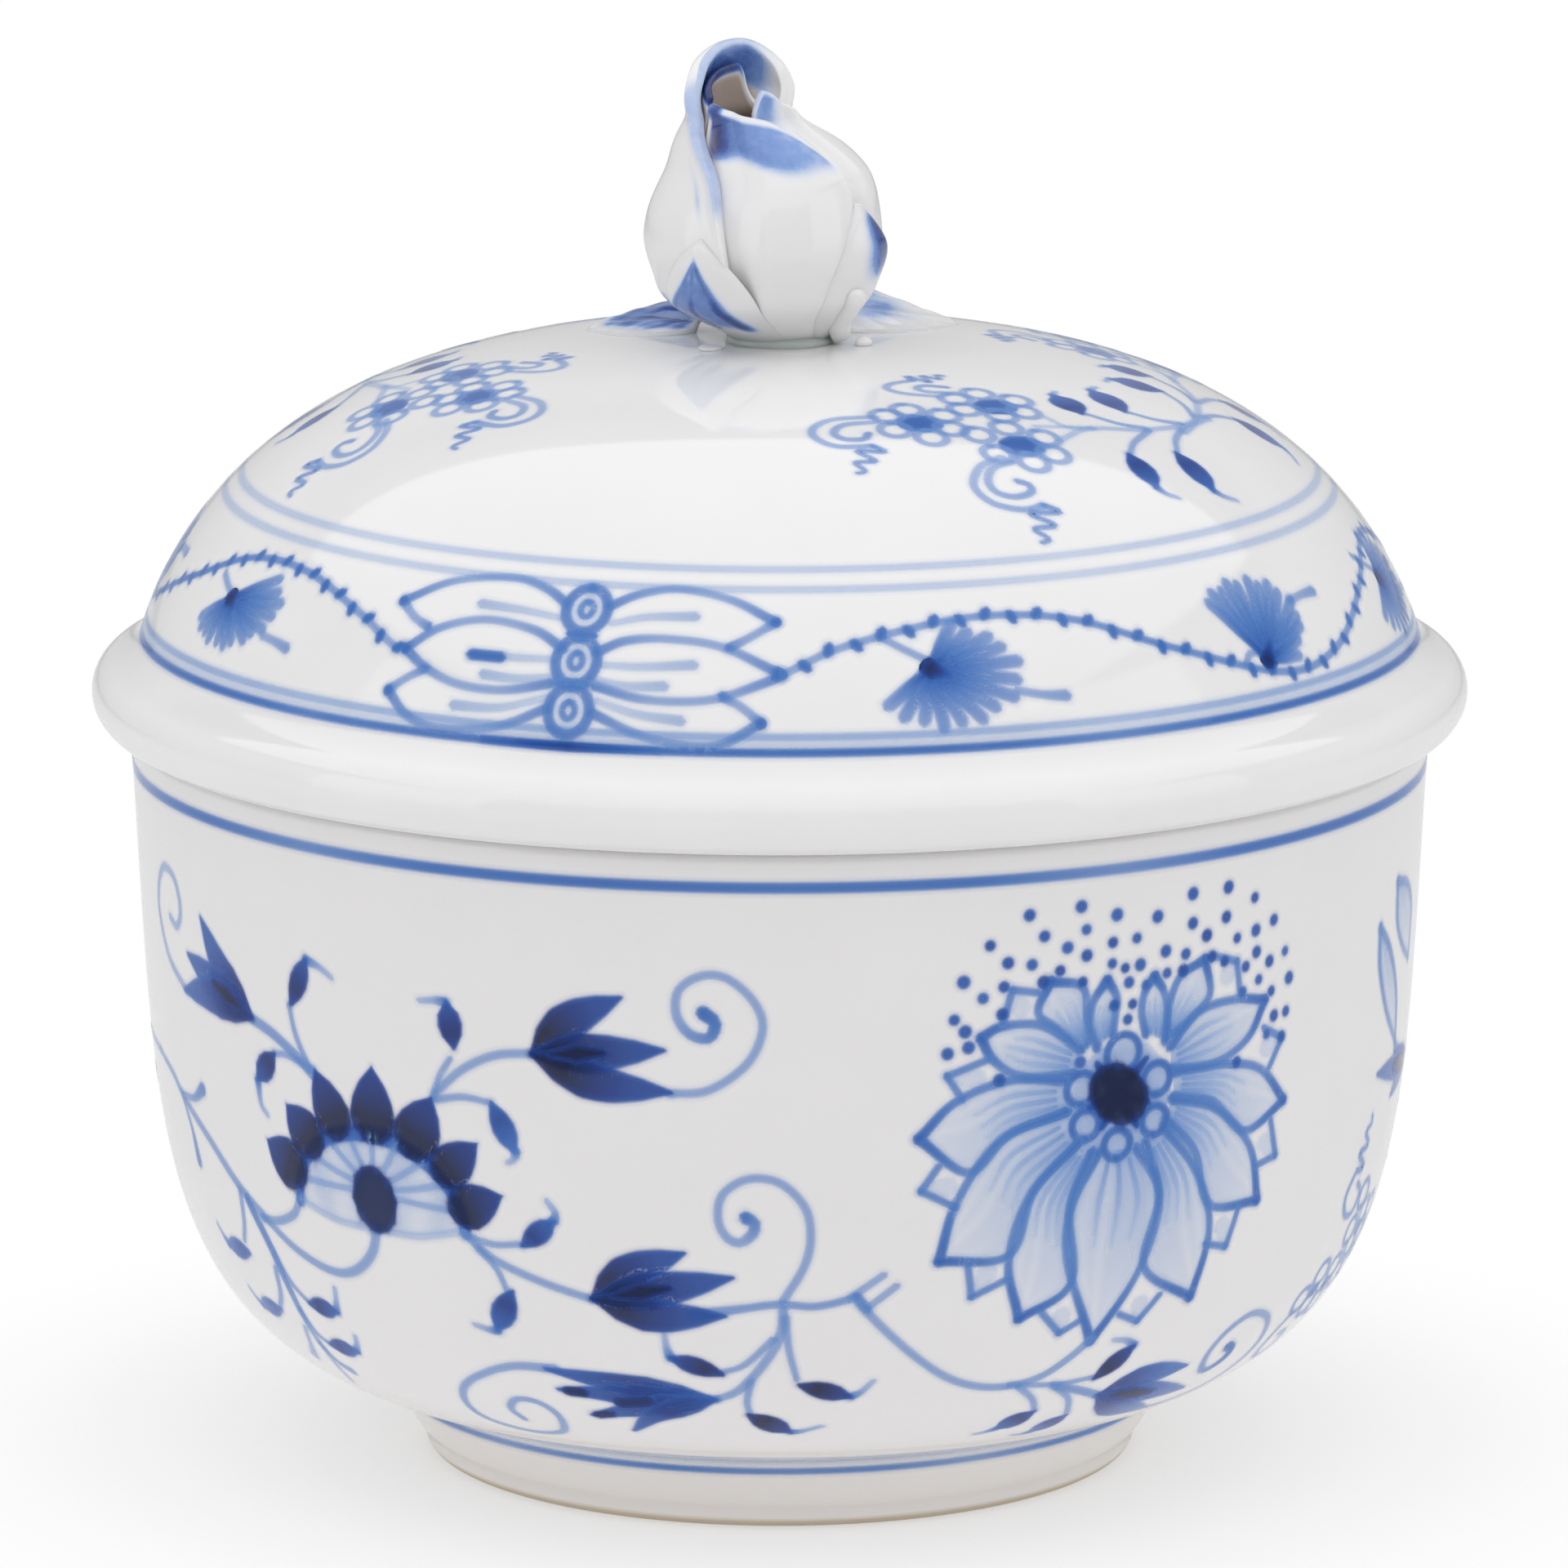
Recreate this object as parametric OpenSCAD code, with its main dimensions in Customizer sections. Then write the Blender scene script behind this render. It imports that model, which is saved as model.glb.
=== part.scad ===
// Lidded sugar bowl in glazed porcelain. The bowl stands on a foot ring, and the domed lid lifts off.
// The lid's handle is a rosebud modelled petal by petal, with sepals, a stem and two leaves.
// Origin: centre of the foot ring's base. +Z is up, and the front faces -Y.

/* [Bowl] */
// Outer diameter of the bowl at its rim
bowl_d = 105.4; // [90:0.2:128]
// Height of the bowl's rim above the table
bowl_h = 60.3; // [48:0.1:74]
// Thickness of the bowl's wall
bowl_wall = 3.4; // [2.6:0.1:4.4]
// Thickness of the bowl's floor
bowl_floor = 4.2; // [3:0.1:6]
// How much the side leans out from the floor to the rim, on the radius
side_flare = 2.7; // [0:0.1:6]
// Height over which the side rounds into the floor
heel_h = 53.8; // [36:0.2:54]
// Fullness of the heel, where 2 is an ellipse and more is squarer
heel_full = 4.75; // [3:0.05:5]

/* [Foot ring] */
// Outer diameter of the foot ring where it meets the bowl
foot_d = 63; // [52:0.2:70]
// Height of the bowl's underside above the table
foot_h = 5.1; // [3:0.1:6]
// Width of the foot ring, from its outer to its inner face
foot_wall = 5.8; // [4.6:0.1:7.5]
// How much the foot ring narrows towards the table, on the radius
foot_taper = 2.4; // [0.5:0.1:2.8]

/* [Lid] */
// How far the lid's rolled rim stands out past the bowl's rim
lid_overhang = 3.1; // [2.4:0.1:4.5]
// Height of the dome above the bowl's rim
dome_h = 31.2; // [24:0.2:40]
// Thickness of the lid's wall
lid_wall = 3.2; // [2.4:0.1:4]
// Radius of the rolled rim
roll_r = 2.95; // [2.2:0.05:3.8]
// Squareness of the dome's shoulder, where 2 is an ellipse
shoulder = 3.05; // [2.2:0.05:3.6]

/* [Locating flange] */
// How far the flange reaches down into the bowl
flange_drop = 6; // [3:0.1:10]
// Thickness of the flange
flange_wall = 2.8; // [2:0.1:3.6]
// Gap all round between the flange and the bowl's mouth
flange_gap = 0.9; // [0.5:0.1:1.5]

/* [Rosebud] */
// Height of the rosebud above the lid
bud_h = 24; // [20:0.1:30]
// Diameter of the rosebud at its widest
bud_d = 19.8; // [17:0.1:24]
// Diameter of the rosebud where it stands on the lid
bud_foot_d = 9.6; // [8:0.1:12]
// Thickness of a petal
petal_t = 0.85; // [0.6:0.05:1]
// Gap between one petal and the next
petal_gap = 0.15; // [0.1:0.05:0.3]
// Sideways distance from the lid's middle to the bud's, towards -X
bud_shift = 1.6; // [0:0.1:3]
// How far the bud's tip leans over towards -X
bud_lean = 2.3; // [0:0.1:4]
// Thickness of a sepal
sepal_t = 0.6; // [0.4:0.05:0.8]

/* [Stem and leaves] */
// Radius of the stem
stem_r = 1; // [0.7:0.1:1.4]
// Length of each leaf
leaf_l = 12.6; // [9:0.1:17]
// Width of each leaf
leaf_w = 8.4; // [6:0.1:11]
// Thickness of each leaf
leaf_t = 1; // [0.7:0.1:1.4]

/* [Hidden] */
$fn = 160;
white = "#eeeff1";
warm_white = "#d8d4cf";
seam = 0.04;                        // slip left between two joined pieces
edge_r = 0.9;                       // rounding of the rims' edges
steps = 40;                         // points along each thrown outline

function mix(a, b, t) = a + (b - a) * t;
function smooth(a, b, x) = let (t = max(0, min(1, (x - a) / (b - a)))) t * t * (3 - 2 * t);
function reversed(list) = [for (i = [len(list) - 1:-1:0]) list[i]];
function bezier(a, b, c, n) =
    [for (i = [0:n]) let (t = i / n) (1 - t) * (1 - t) * a + 2 * t * (1 - t) * b + t * t * c];
// Points of an arc about c, from angle a0 to a1
function arc(c, r, a0, a1, n) =
    [for (i = [0:n]) let (a = mix(a0, a1, i / n)) c + r * [cos(a), sin(a)]];
// Unit normal on the left of an outline at point i
function left_normal(p, i) =
    let (d = p[min(i + 1, len(p) - 1)] - p[max(i - 1, 0)]) [-d[1], d[0]] / norm(d);

// ---- thrown outlines, each a list of [radius, height] ----

mouth_r = bowl_d / 2 - bowl_wall;
body_r = bowl_d / 2 - side_flare;
// Radius of the bowl's outside at height z
function bowl_r(z) =
    let (t = min(1, (z - foot_h) / heel_h))
    body_r * pow(1 - pow(1 - t, heel_full), 1 / heel_full)
        + side_flare * (z - foot_h) / (bowl_h - foot_h);
// Height of the bowl's underside at radius r, found by halving
function under_z(r, lo = foot_h, hi = bowl_h, n = 24) =
    n == 0 ? lo : let (m = (lo + hi) / 2)
    bowl_r(m) > r ? under_z(r, lo, m, n - 1) : under_z(r, m, hi, n - 1);

bowl_out = concat([[0, foot_h]],
    [for (i = [1:steps]) let (z = mix(foot_h, bowl_h - edge_r, pow(i / steps, 2.6))) [bowl_r(z), z]]);
// The wall is as thick as the floor underneath and thins to the side's thickness
bowl_in = [for (i = [1:len(bowl_out) - 2]) let (n = left_normal(bowl_out, i),
    t = mix(bowl_wall, bowl_floor, n[1] * n[1]),
    p = bowl_out[i] + t * n) if (p[0] > 1 && p[1] < bowl_h - edge_r - 0.4) p];

// The rolled rim is a ring that rests on the bowl's rim
ring_r = bowl_d / 2 + lid_overhang - roll_r;
ring_z = bowl_h + roll_r;
dome_sink = 2.6;                    // how far below the rim the dome's curve would end
dome_r = ring_r + 0.53;             // radius at which it would end
dome_top = bowl_h + dome_h;
function dome_z(r) =
    bowl_h - dome_sink + (dome_h + dome_sink) * pow(1 - pow(r / dome_r, shoulder), 1 / 2.04);
bud_foot_r = bud_foot_d / 2;
land_r = bud_foot_r + bud_shift + 0.6;  // flat land on the dome that the bud stands on
bud_z = dome_z(land_r);
dome_low_r = ring_r - 1.15;         // where the dome's curve starts to sweep out into the roll
dome_out = concat([[0, bud_z]],
    [for (i = [0:steps]) let (r = land_r + (dome_low_r - land_r) * sin(90 * i / steps)) [r, dome_z(r)]]);
sweep = bezier([dome_low_r, dome_z(dome_low_r)], [ring_r - 0.75, ring_z + roll_r + 0.5],
    [ring_r + roll_r * cos(60), ring_z + roll_r * sin(60)], 8);
roll = arc([ring_r, ring_z], roll_r, 52, -90, 20);
flange_out_r = mouth_r - flange_gap;
flange_in_r = flange_out_r - flange_wall;
dome_in = [for (i = [2:len(dome_out) - 1]) let (n = left_normal(dome_out, i),
    p = dome_out[i] - lid_wall * n) if (p[1] > bowl_h + 8) p];
lid_foot = bezier(dome_in[len(dome_in) - 1], [flange_in_r + 1.2, bowl_h + 4],
    [flange_in_r, bowl_h], 6);

// ---- the rosebud's envelope, in height h above the lid ----

bud_r = bud_d / 2;
bud_wide = bud_h / 3;               // height of the widest place
egg_low = bud_wide / sqrt(1 - pow(bud_foot_r / bud_r, 2));
egg_high = bud_h * 0.467;
neck_r = bud_r * 0.475;             // radius of the hood above the egg
pitch = petal_t + petal_gap;
function egg(h) =
    bud_r * sqrt(max(0, 1 - pow((h - bud_wide) / (h < bud_wide ? egg_low : egg_high), 2)));
function neck(h) = h < bud_wide ? 0 : neck_r * (1 - 0.12 * smooth(bud_h * 0.75, bud_h, h));
function envelope(h) = pow(pow(egg(h), 8) + pow(neck(h), 8), 1 / 8);
function bud_x(h) = -bud_shift - bud_lean * smooth(bud_h * 0.56, bud_h * 0.875, h);
function on_bud(az, h, r) = [bud_x(h) + r * cos(az), r * sin(az), bud_z + seam + h];
// 1 under the neighbouring petal, and 0 from angle b on
function tucked(a, b, az) = 1 - smooth(a, b, az);

// A closed shell between f(u, v, 0), its outside, and f(u, v, 1), its inside
module shell(f, nu, nv) {
    w = nv + 1;
    n = (nu + 1) * w;
    points = [for (s = [0, 1], i = [0:nu], j = [0:nv]) f(i / nu, j / nv, s)];
    skins = [for (i = [0:nu - 1], j = [0:nv - 1]) let (a = i * w + j, b = a + w)
        each [[a, b + 1, b], [a, a + 1, b + 1], [n + a, n + b, n + b + 1], [n + a, n + b + 1, n + a + 1]]];
    ends = [for (j = [0:nv - 1]) let (a = j, b = nu * w + j)
        each [[a, n + a + 1, a + 1], [a, n + a, n + a + 1], [b, b + 1, n + b + 1], [b, n + b + 1, n + b]]];
    rims = [for (i = [0:nu - 1]) let (a = i * w, b = a + nv)
        each [[a, a + w, n + a + w], [a, n + a + w, n + a], [b, n + b + w, b + w], [b, n + b, n + b + w]]];
    polyhedron(points, concat(skins, ends, rims), convexity = 6);
}

// A petal from angle a0 to a1: top(az) is its height, and depth(az) how deep it is tucked, in petals
module petal(a0, a1, top, depth, thick, nu = 22) {
    shell(function (u, v, side)
        let (az = mix(a0, a1, (1 - cos(180 * u)) / 2),
            h = top(az) * v,
            r = envelope(h) - pitch * depth(az) - side * thick)
        on_bud(az, h, r), nu, 14);
}

// A sepal hugs the petals: it is half_a wide each way at its foot, and its tip leans by tip_a
module sepal(a, half_a, tip_h, tip_a) {
    shell(function (u, v, side)
        let (s = 2 * u - 1,
            h = tip_h * v,
            az = a + tip_a * v + s * half_a * (1 - 0.93 * pow(v, 1.7)),
            lift = petal_gap + (1 - side) * sepal_t * (1 - 0.35 * s * s) * smooth(-1.5, 3, h))
        on_bud(az, h, envelope(h) + lift), 10, 10);
}

// A leaf lies on the dome at angle a, clear of the sepals: its root is lifted by root_z, its sides
// curl up by curl, and it has the given share of the full length
module leaf(a, root_z, curl, share = 1) {
    start_r = envelope(root_z + leaf_t + 0.3) + petal_gap + sepal_t;
    shell(function (u, v, side)
        let (s = 2 * u - 1,
            along = start_r + leaf_l * share * v,
            across = s * leaf_w / 2 * (0.12 + 0.88 * pow(sin(180 * pow(v, 0.8) * 0.94), 0.8)),
            x = -bud_shift + along * cos(a) - across * sin(a),
            y = along * sin(a) + across * cos(a),
            rise = root_z * pow(1 - v, 2) + curl * s * s * sin(180 * v),
            thick = leaf_t * (1 - 0.4 * s * s) * (1 - 0.5 * v * v))
        [x, y, min(dome_z(norm([x, y])), bud_z) + 2 * seam + rise + (1 - side) * thick], 12, 12);
}

module bowl() {
    color(white) rotate_extrude() polygon(concat(
        bowl_out,
        arc([bowl_d / 2 - edge_r, bowl_h - edge_r], edge_r, 0, 90, 6),
        arc([mouth_r + edge_r, bowl_h - edge_r], edge_r, 90, 180, 6),
        reversed(bowl_in),
        [[0, foot_h + bowl_floor]]));
}

module foot_ring() {
    out_r = foot_d / 2;
    low_r = out_r - foot_taper;
    in_r = out_r - foot_wall;
    corner = 1.2;
    inner_corner = 0.7;
    color(warm_white) rotate_extrude() polygon(concat(
        arc([in_r + inner_corner, inner_corner], inner_corner, 180, 270, 5),
        arc([low_r - corner, corner], corner, -90, -15, 6),
        bezier([low_r, corner * 1.4], [low_r + foot_taper * 0.65, foot_h * 0.6],
            [out_r, under_z(out_r) - seam], 6),
        [for (i = [1:8]) let (r = mix(out_r, in_r, i / 8)) [r, under_z(r) - seam]]));
}

module lid() {
    color(white) rotate_extrude() polygon(concat(
        dome_out,
        sweep,
        roll,
        reversed(lid_foot),
        reversed(dome_in),
        [[0, bud_z - lid_wall]]));
}

module lid_flange() {
    low = bowl_h - flange_drop;
    round_r = flange_wall / 2 - 0.1;
    color(white) rotate_extrude() polygon(concat(
        arc([flange_in_r + round_r, low + round_r], round_r, 180, 270, 6),
        arc([flange_out_r - round_r, low + round_r], round_r, -90, 0, 6),
        [[flange_out_r, bowl_h], [flange_in_r, bowl_h]]));
}

// The cone of clay that the petals are wrapped on: it ends below the bud's open mouth
module bud_core() {
    top = bud_h * 0.55;
    color(warm_white) translate([-bud_shift, 0, bud_z]) rotate_extrude() polygon(concat(
        [[0, 0]],
        [for (i = [0:12]) let (h = top * i / 12) [envelope(h) - 2 * pitch - petal_gap, h]],
        [[0, top]]));
}

// The tall petal at the left and back, whose rim arches over the mouth
module petal_hood() {
    top = function (az) let (x = (az - 100) / (az > 100 ? 154 : 95)) bud_h * pow(1 - x * x, 0.31);
    color(white) petal(15, 253, top, function (az) tucked(78, 95, az), petal_t, 30);
}

module petal_inner() {
    top = function (az) bud_h * (0.885 - 0.00002 * pow(az - 150, 2));
    color(white) petal(102, 214, top, function (az) 1, petal_t - 0.15, 12);
}

module petal_front() {
    top = function (az) let (u = (az - 220) / 103) bud_h * (0.815 - 0.06 * u - 0.24 * pow(u, 14));
    color(white) petal(220, 323, top, function (az) tucked(255, 273, az), petal_t);
}

// The petal at the right, whose tip shows in the mouth behind the front petal
module petal_right() {
    tip = 315;
    top = function (az) az < tip
        ? bud_h * (0.855 - 0.3 * pow((tip - az) / 40, 1.3))
        : bud_h * (0.855 - 0.42 * pow((az - tip) / 120, 1.15));
    color(white) petal(275, 435, top, function (az) tucked(327, 341, az), petal_t);
}

module sepal_left() {
    color(white) sepal(233, 33, bud_h * 0.4, 5);
}

module sepal_right() {
    color(white) sepal(345, 32, bud_h * 0.49, -20);
}

module sepal_side() {
    color(white) sepal(160, 30, bud_h * 0.36, 8);
}

module sepal_back() {
    color(white) sepal(70, 33, bud_h * 0.42, -6);
}

// The short stem curves round the bud's foot and lies on the lid
module stem() {
    reach = envelope(stem_r + 0.6) + petal_gap + sepal_t + stem_r + 0.1;
    way = function (t) let (az = mix(-52, 8, t), d = reach + 0.3 * t)
        [-bud_shift + d * cos(az), d * sin(az), bud_z + 3 * seam + stem_r + 0.35 * t];
    rings = 10;
    sides = 12;
    points = [for (i = [0:rings]) let (t = i / rings, az = mix(-52, 8, t),
        r = stem_r * sqrt(1 - pow(abs(2 * t - 1), 6) * 0.7))
        for (k = [0:sides - 1]) let (a = 360 * k / sides)
            way(t) + r * [cos(a) * cos(az), cos(a) * sin(az), sin(a)]];
    skin = [for (i = [0:rings - 1], k = [0:sides - 1])
        let (a = i * sides + k, b = i * sides + (k + 1) % sides)
        each [[a, b, b + sides], [a, b + sides, a + sides]]];
    caps = [[for (k = [sides - 1:-1:0]) k], [for (k = [0:sides - 1]) rings * sides + k]];
    color(white) polyhedron(points, concat(skin, caps), convexity = 4);
}

module leaf_left() {
    color(white) leaf(145, 0, 1.1, 0.82);
}

module leaf_right() {
    color(white) leaf(38, 1.2, 1.1);
}

bowl();
foot_ring();
lid();
lid_flange();
bud_core();
petal_hood();
petal_inner();
petal_front();
petal_right();
sepal_left();
sepal_right();
sepal_side();
sepal_back();
stem();
leaf_left();
leaf_right();
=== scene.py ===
import bmesh
import bpy
import numpy as np
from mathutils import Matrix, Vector


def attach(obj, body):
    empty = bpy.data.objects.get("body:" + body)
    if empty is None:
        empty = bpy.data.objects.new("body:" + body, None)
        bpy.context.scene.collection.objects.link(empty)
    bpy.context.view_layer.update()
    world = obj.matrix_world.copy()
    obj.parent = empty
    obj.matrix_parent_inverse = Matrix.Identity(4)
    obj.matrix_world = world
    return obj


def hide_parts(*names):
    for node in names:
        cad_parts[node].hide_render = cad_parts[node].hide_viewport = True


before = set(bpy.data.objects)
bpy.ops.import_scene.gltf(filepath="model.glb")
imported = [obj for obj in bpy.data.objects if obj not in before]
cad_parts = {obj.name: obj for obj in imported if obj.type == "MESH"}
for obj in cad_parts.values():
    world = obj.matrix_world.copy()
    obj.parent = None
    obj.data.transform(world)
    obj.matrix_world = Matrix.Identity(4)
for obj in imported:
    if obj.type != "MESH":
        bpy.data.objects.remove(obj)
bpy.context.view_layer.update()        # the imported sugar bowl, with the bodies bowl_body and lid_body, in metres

scene = bpy.context.scene

# ---- Camera ----
# A long lens from a metre away, at the height of someone standing at a table across the room, so
# that the bowl shows nearly in profile with a little of the lid's top.
camera_tilt = np.radians(11.83)
camera_distance = 1.0
camera_aim = Vector((0.00035, 0, 0.0548))
camera_lens = bpy.data.cameras.new("camera")
camera_lens.lens = 282.1
camera_lens.sensor_width = 36
camera = bpy.data.objects.new("camera", camera_lens)
camera.location = camera_aim + camera_distance * Vector((0, -np.cos(camera_tilt), np.sin(camera_tilt)))
camera.rotation_euler = (np.pi / 2 - camera_tilt, 0, 0)
scene.collection.objects.link(camera)
scene.camera = camera
scene.view_settings.view_transform = "Standard"


# ---- Light tent and table ----
# A white light tent: one large soft panel overhead reaching down in front, white walls all round and
# a pale table that goes over into the white background and keeps the bowl's soft shadow. Near the bowl
# the table also glows faintly for all but camera rays: a painted glow that fills the shade on the foot
# and under the bowl.
def linear(code):
    """An sRGB hex colour as linear light: below 0.04045 divided by 12.92, above it a power of 2.4."""
    srgb = np.array([int(code[i:i + 2], 16) for i in (1, 3, 5)]) / 255
    light = np.where(srgb <= 0.04045, srgb / 12.92, ((srgb + 0.055) / 1.055) ** 2.4)
    return (*light.tolist(), 1.0)


def add_node(tree, kind, links=None, **settings):
    """Adds one node: settings are its sockets by name or its own properties, links are sockets to join."""
    node = tree.nodes.new("ShaderNode" + kind)
    for key, value in settings.items():
        name = key.replace("_", " ")
        if hasattr(node, key) and not key[0].isupper():
            setattr(node, key, value)
        else:
            node.inputs[name].default_value = value
    for key, socket in (links or {}).items():
        target = node.inputs[key] if isinstance(key, int) else node.inputs[key.replace("_", " ")]
        tree.links.new(socket, target)
    return node


def ramp(tree, factor, stops):
    """A colour ramp through stops, each a place from 0 to 1 and an sRGB hex colour."""
    node = add_node(tree, "ValToRGB", {0: factor})
    elements = node.color_ramp.elements
    while len(elements) < len(stops):
        elements.new(0.5)
    for element, (place, code) in zip(elements, stops):
        element.position = place
        element.color = linear(code)
    return node.outputs["Color"]


world = bpy.data.worlds.new("light_tent")
scene.world = world
world.use_nodes = True
tent = world.node_tree
tent.nodes.clear()
ray = add_node(tent, "LightPath")
skyward = add_node(tent, "SeparateXYZ", {0: add_node(tent, "TexCoord").outputs["Generated"]})
walls = ramp(tent, skyward.outputs["Z"],
             [(0.0, "#e6e6e6"), (0.40, "#e2e3e4"), (0.53, "#9a9c9f"), (1.0, "#8f9194")])
wall_light = add_node(tent, "Background", {"Color": walls}, Strength=0.68)
backdrop = add_node(tent, "Background", Color=linear("#ffffff"), Strength=1.0)
tent_light = add_node(tent, "MixShader", {
    0: ray.outputs["Is Camera Ray"], 1: wall_light.outputs[0], 2: backdrop.outputs[0]})
add_node(tent, "OutputWorld", {"Surface": tent_light.outputs[0]})


def panel(name, place, target, width, height, power):
    """A soft rectangular panel at place, facing target."""
    lamp = bpy.data.lights.new(name, "AREA")
    lamp.shape = "RECTANGLE"
    lamp.size = width
    lamp.size_y = height
    lamp.energy = power
    lamp_object = bpy.data.objects.new(name, lamp)
    lamp_object.location = place
    lamp_object.rotation_euler = (Vector(target) - Vector(place)).to_track_quat("-Z", "Y").to_euler()
    scene.collection.objects.link(lamp_object)


panel("overhead_panel", (0, -0.28, 0.70), (0, -0.28, 0), 1.7, 1.75, 9.6)
panel("left_panel", (-0.75, -0.35, 0.25), (0, 0, 0.05), 0.5, 0.6, 0.9)
panel("right_panel", (0.75, -0.35, 0.25), (0, 0, 0.05), 0.5, 0.6, 0.9)

table_mesh = bpy.data.meshes.new("table")
table_half = 1.6
table_top = -0.00005                # a hair below the foot ring, so that the two faces don't share a plane
corners = [(-1, -1), (1, -1), (1, 1), (-1, 1)]
table_mesh.from_pydata([(x * table_half, y * table_half, table_top) for x, y in corners], [],
                       [(0, 1, 2, 3)])
table = bpy.data.objects.new("table", table_mesh)
scene.collection.objects.link(table)
table_paint = bpy.data.materials.new("white_table")
table_paint.use_nodes = True
tree = table_paint.node_tree
tree.nodes.clear()
ray = add_node(tree, "LightPath")
place = add_node(tree, "TexCoord").outputs["Object"]
reach = add_node(tree, "VectorMath", {0: place}, operation="LENGTH")
fade = add_node(tree, "MapRange", {"Value": reach.outputs["Value"]}, interpolation_type="SMOOTHERSTEP",
                From_Min=0.030, From_Max=0.092, To_Min=0.5)
shown = add_node(tree, "Math", {0: fade.outputs[0], 1: ray.outputs["Is Camera Ray"]}, operation="MULTIPLY")
matt = add_node(tree, "BsdfDiffuse", Color=linear("#f4f4f4"))
bright = add_node(tree, "Emission", Color=linear("#ffffff"), Strength=1.0)
mixed = add_node(tree, "MixShader", {0: shown.outputs[0], 1: matt.outputs[0], 2: bright.outputs[0]})
# Painted glow: within about 0.1 m of the middle the table emits a little light, seen only by rays other than the
# camera's
painted_glow_strength = add_node(tree, "MapRange", {"Value": reach.outputs["Value"]}, From_Min=0.04, From_Max=0.11,
                To_Min=0.2, To_Max=0.0)
painted_glow_emission = add_node(tree, "Emission", {"Strength": painted_glow_strength.outputs[0]}, Color=linear("#fffefc"))
lit = add_node(tree, "AddShader", {0: matt.outputs[0], 1: painted_glow_emission.outputs[0]})
table_look = add_node(tree, "MixShader",
                      {0: ray.outputs["Is Camera Ray"], 1: lit.outputs[0], 2: mixed.outputs[0]})
add_node(tree, "OutputMaterial", {"Surface": table_look.outputs[0]})
table_mesh.materials.append(table_paint)


# ---- Bowl ----
# The bowl is thrown and turned porcelain, glazed inside and out and fired hard: a full, straight-sided
# body with a tight heel, a wall of about 3 mm and a softly rounded rim.
def glazed_porcelain(name, body, soft=0.12):
    """Hard porcelain under a clear glossy glaze. The body is a cool white that varies a little over
    some 12 mm and holds a few fine iron specks, the glaze is as smooth as glass with a faint swell.
    A piece may carry the colour attribute paint: red is cobalt wash, green is painted warm shade in
    hollows and under the petals, blue is glaze pooling thick in creases, which goes grey-green, together
    with painted shade in the same creases."""
    material = bpy.data.materials.new(name)
    material.use_nodes = True
    tree = material.node_tree
    tree.nodes.clear()
    place = add_node(tree, "TexCoord").outputs["Object"]
    cloud = add_node(tree, "TexNoise", {"Vector": place}, Scale=85.0, Detail=3.0, Roughness=0.55)
    whiteness = add_node(tree, "Mix", {0: cloud.outputs["Fac"]}, data_type="RGBA")
    whiteness.inputs[6].default_value = linear(body[0])
    whiteness.inputs[7].default_value = linear(body[1])
    speck = add_node(tree, "TexVoronoi", {"Vector": place}, Scale=170.0, Randomness=1.0)
    rare = add_node(tree, "SeparateColor", {0: speck.outputs["Color"]})
    dot = add_node(tree, "MapRange", {"Value": speck.outputs["Distance"]}, From_Min=0.03, From_Max=0.014)
    few = add_node(tree, "Math", {0: rare.outputs[0]}, operation="GREATER_THAN")
    few.inputs[1].default_value = 0.975
    iron = add_node(tree, "Math", {0: dot.outputs[0], 1: few.outputs[0]}, operation="MULTIPLY")
    iron_share = add_node(tree, "Math", {0: iron.outputs[0]}, operation="MULTIPLY")
    iron_share.inputs[1].default_value = 0.4
    specked = add_node(tree, "Mix", {0: iron_share.outputs[0], 6: whiteness.outputs[2]}, data_type="RGBA")
    specked.inputs[7].default_value = linear("#8d8275")
    paint = add_node(tree, "Attribute", attribute_name="paint")
    amounts = add_node(tree, "SeparateColor", {0: paint.outputs["Color"]})
    brushed = add_node(tree, "TexNoise", {"Vector": place}, Scale=900.0, Detail=4.0, Roughness=0.7)
    uneven = add_node(tree, "MapRange", {"Value": brushed.outputs["Fac"]}, To_Min=0.72, To_Max=1.28)
    cobalt = add_node(tree, "Math", {0: amounts.outputs[0], 1: uneven.outputs[0]}, operation="MULTIPLY",
                      use_clamp=True)
    ink = ramp(tree, cobalt.outputs[0],
               [(0.0, "#cfdcf1"), (0.35, "#7f9fd6"), (0.7, "#33549f"), (1.0, "#1b2c66")])
    strength = add_node(tree, "MapRange", {"Value": cobalt.outputs[0]}, From_Max=0.35)
    painted = add_node(tree, "Mix", {0: strength.outputs[0], 6: specked.outputs[2], 7: ink},
                       data_type="RGBA")
    # Green of paint mixes in painted warm shade; blue mixes in grey-green for glaze pooling in creases together
    # with painted shade
    painted_warm_shade = add_node(tree, "Mix", {0: amounts.outputs[1], 6: painted.outputs[2]}, data_type="RGBA")
    painted_warm_shade.inputs[7].default_value = linear("#a58d78")
    pooled_glaze_and_shade = add_node(tree, "Mix", {0: amounts.outputs[2], 6: painted_warm_shade.outputs[2]}, data_type="RGBA")
    pooled_glaze_and_shade.inputs[7].default_value = linear("#aab3b0")
    swell = add_node(tree, "TexNoise", {"Vector": place}, Scale=140.0, Detail=1.0)
    skin = add_node(tree, "Bump", {"Height": swell.outputs["Fac"]}, Strength=0.10, Distance=0.00006)
    glaze = add_node(tree, "BsdfPrincipled", {"Base_Color": pooled_glaze_and_shade.outputs[2], "Normal": skin.outputs[0]},
                     Roughness=0.07, IOR=1.52)
    glaze.inputs["Subsurface Weight"].default_value = soft
    glaze.inputs["Subsurface Radius"].default_value = (1.0, 0.9, 0.8)
    glaze.inputs["Subsurface Scale"].default_value = 0.0012
    add_node(tree, "OutputMaterial", {"Surface": glaze.outputs[0]})
    return material


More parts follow.
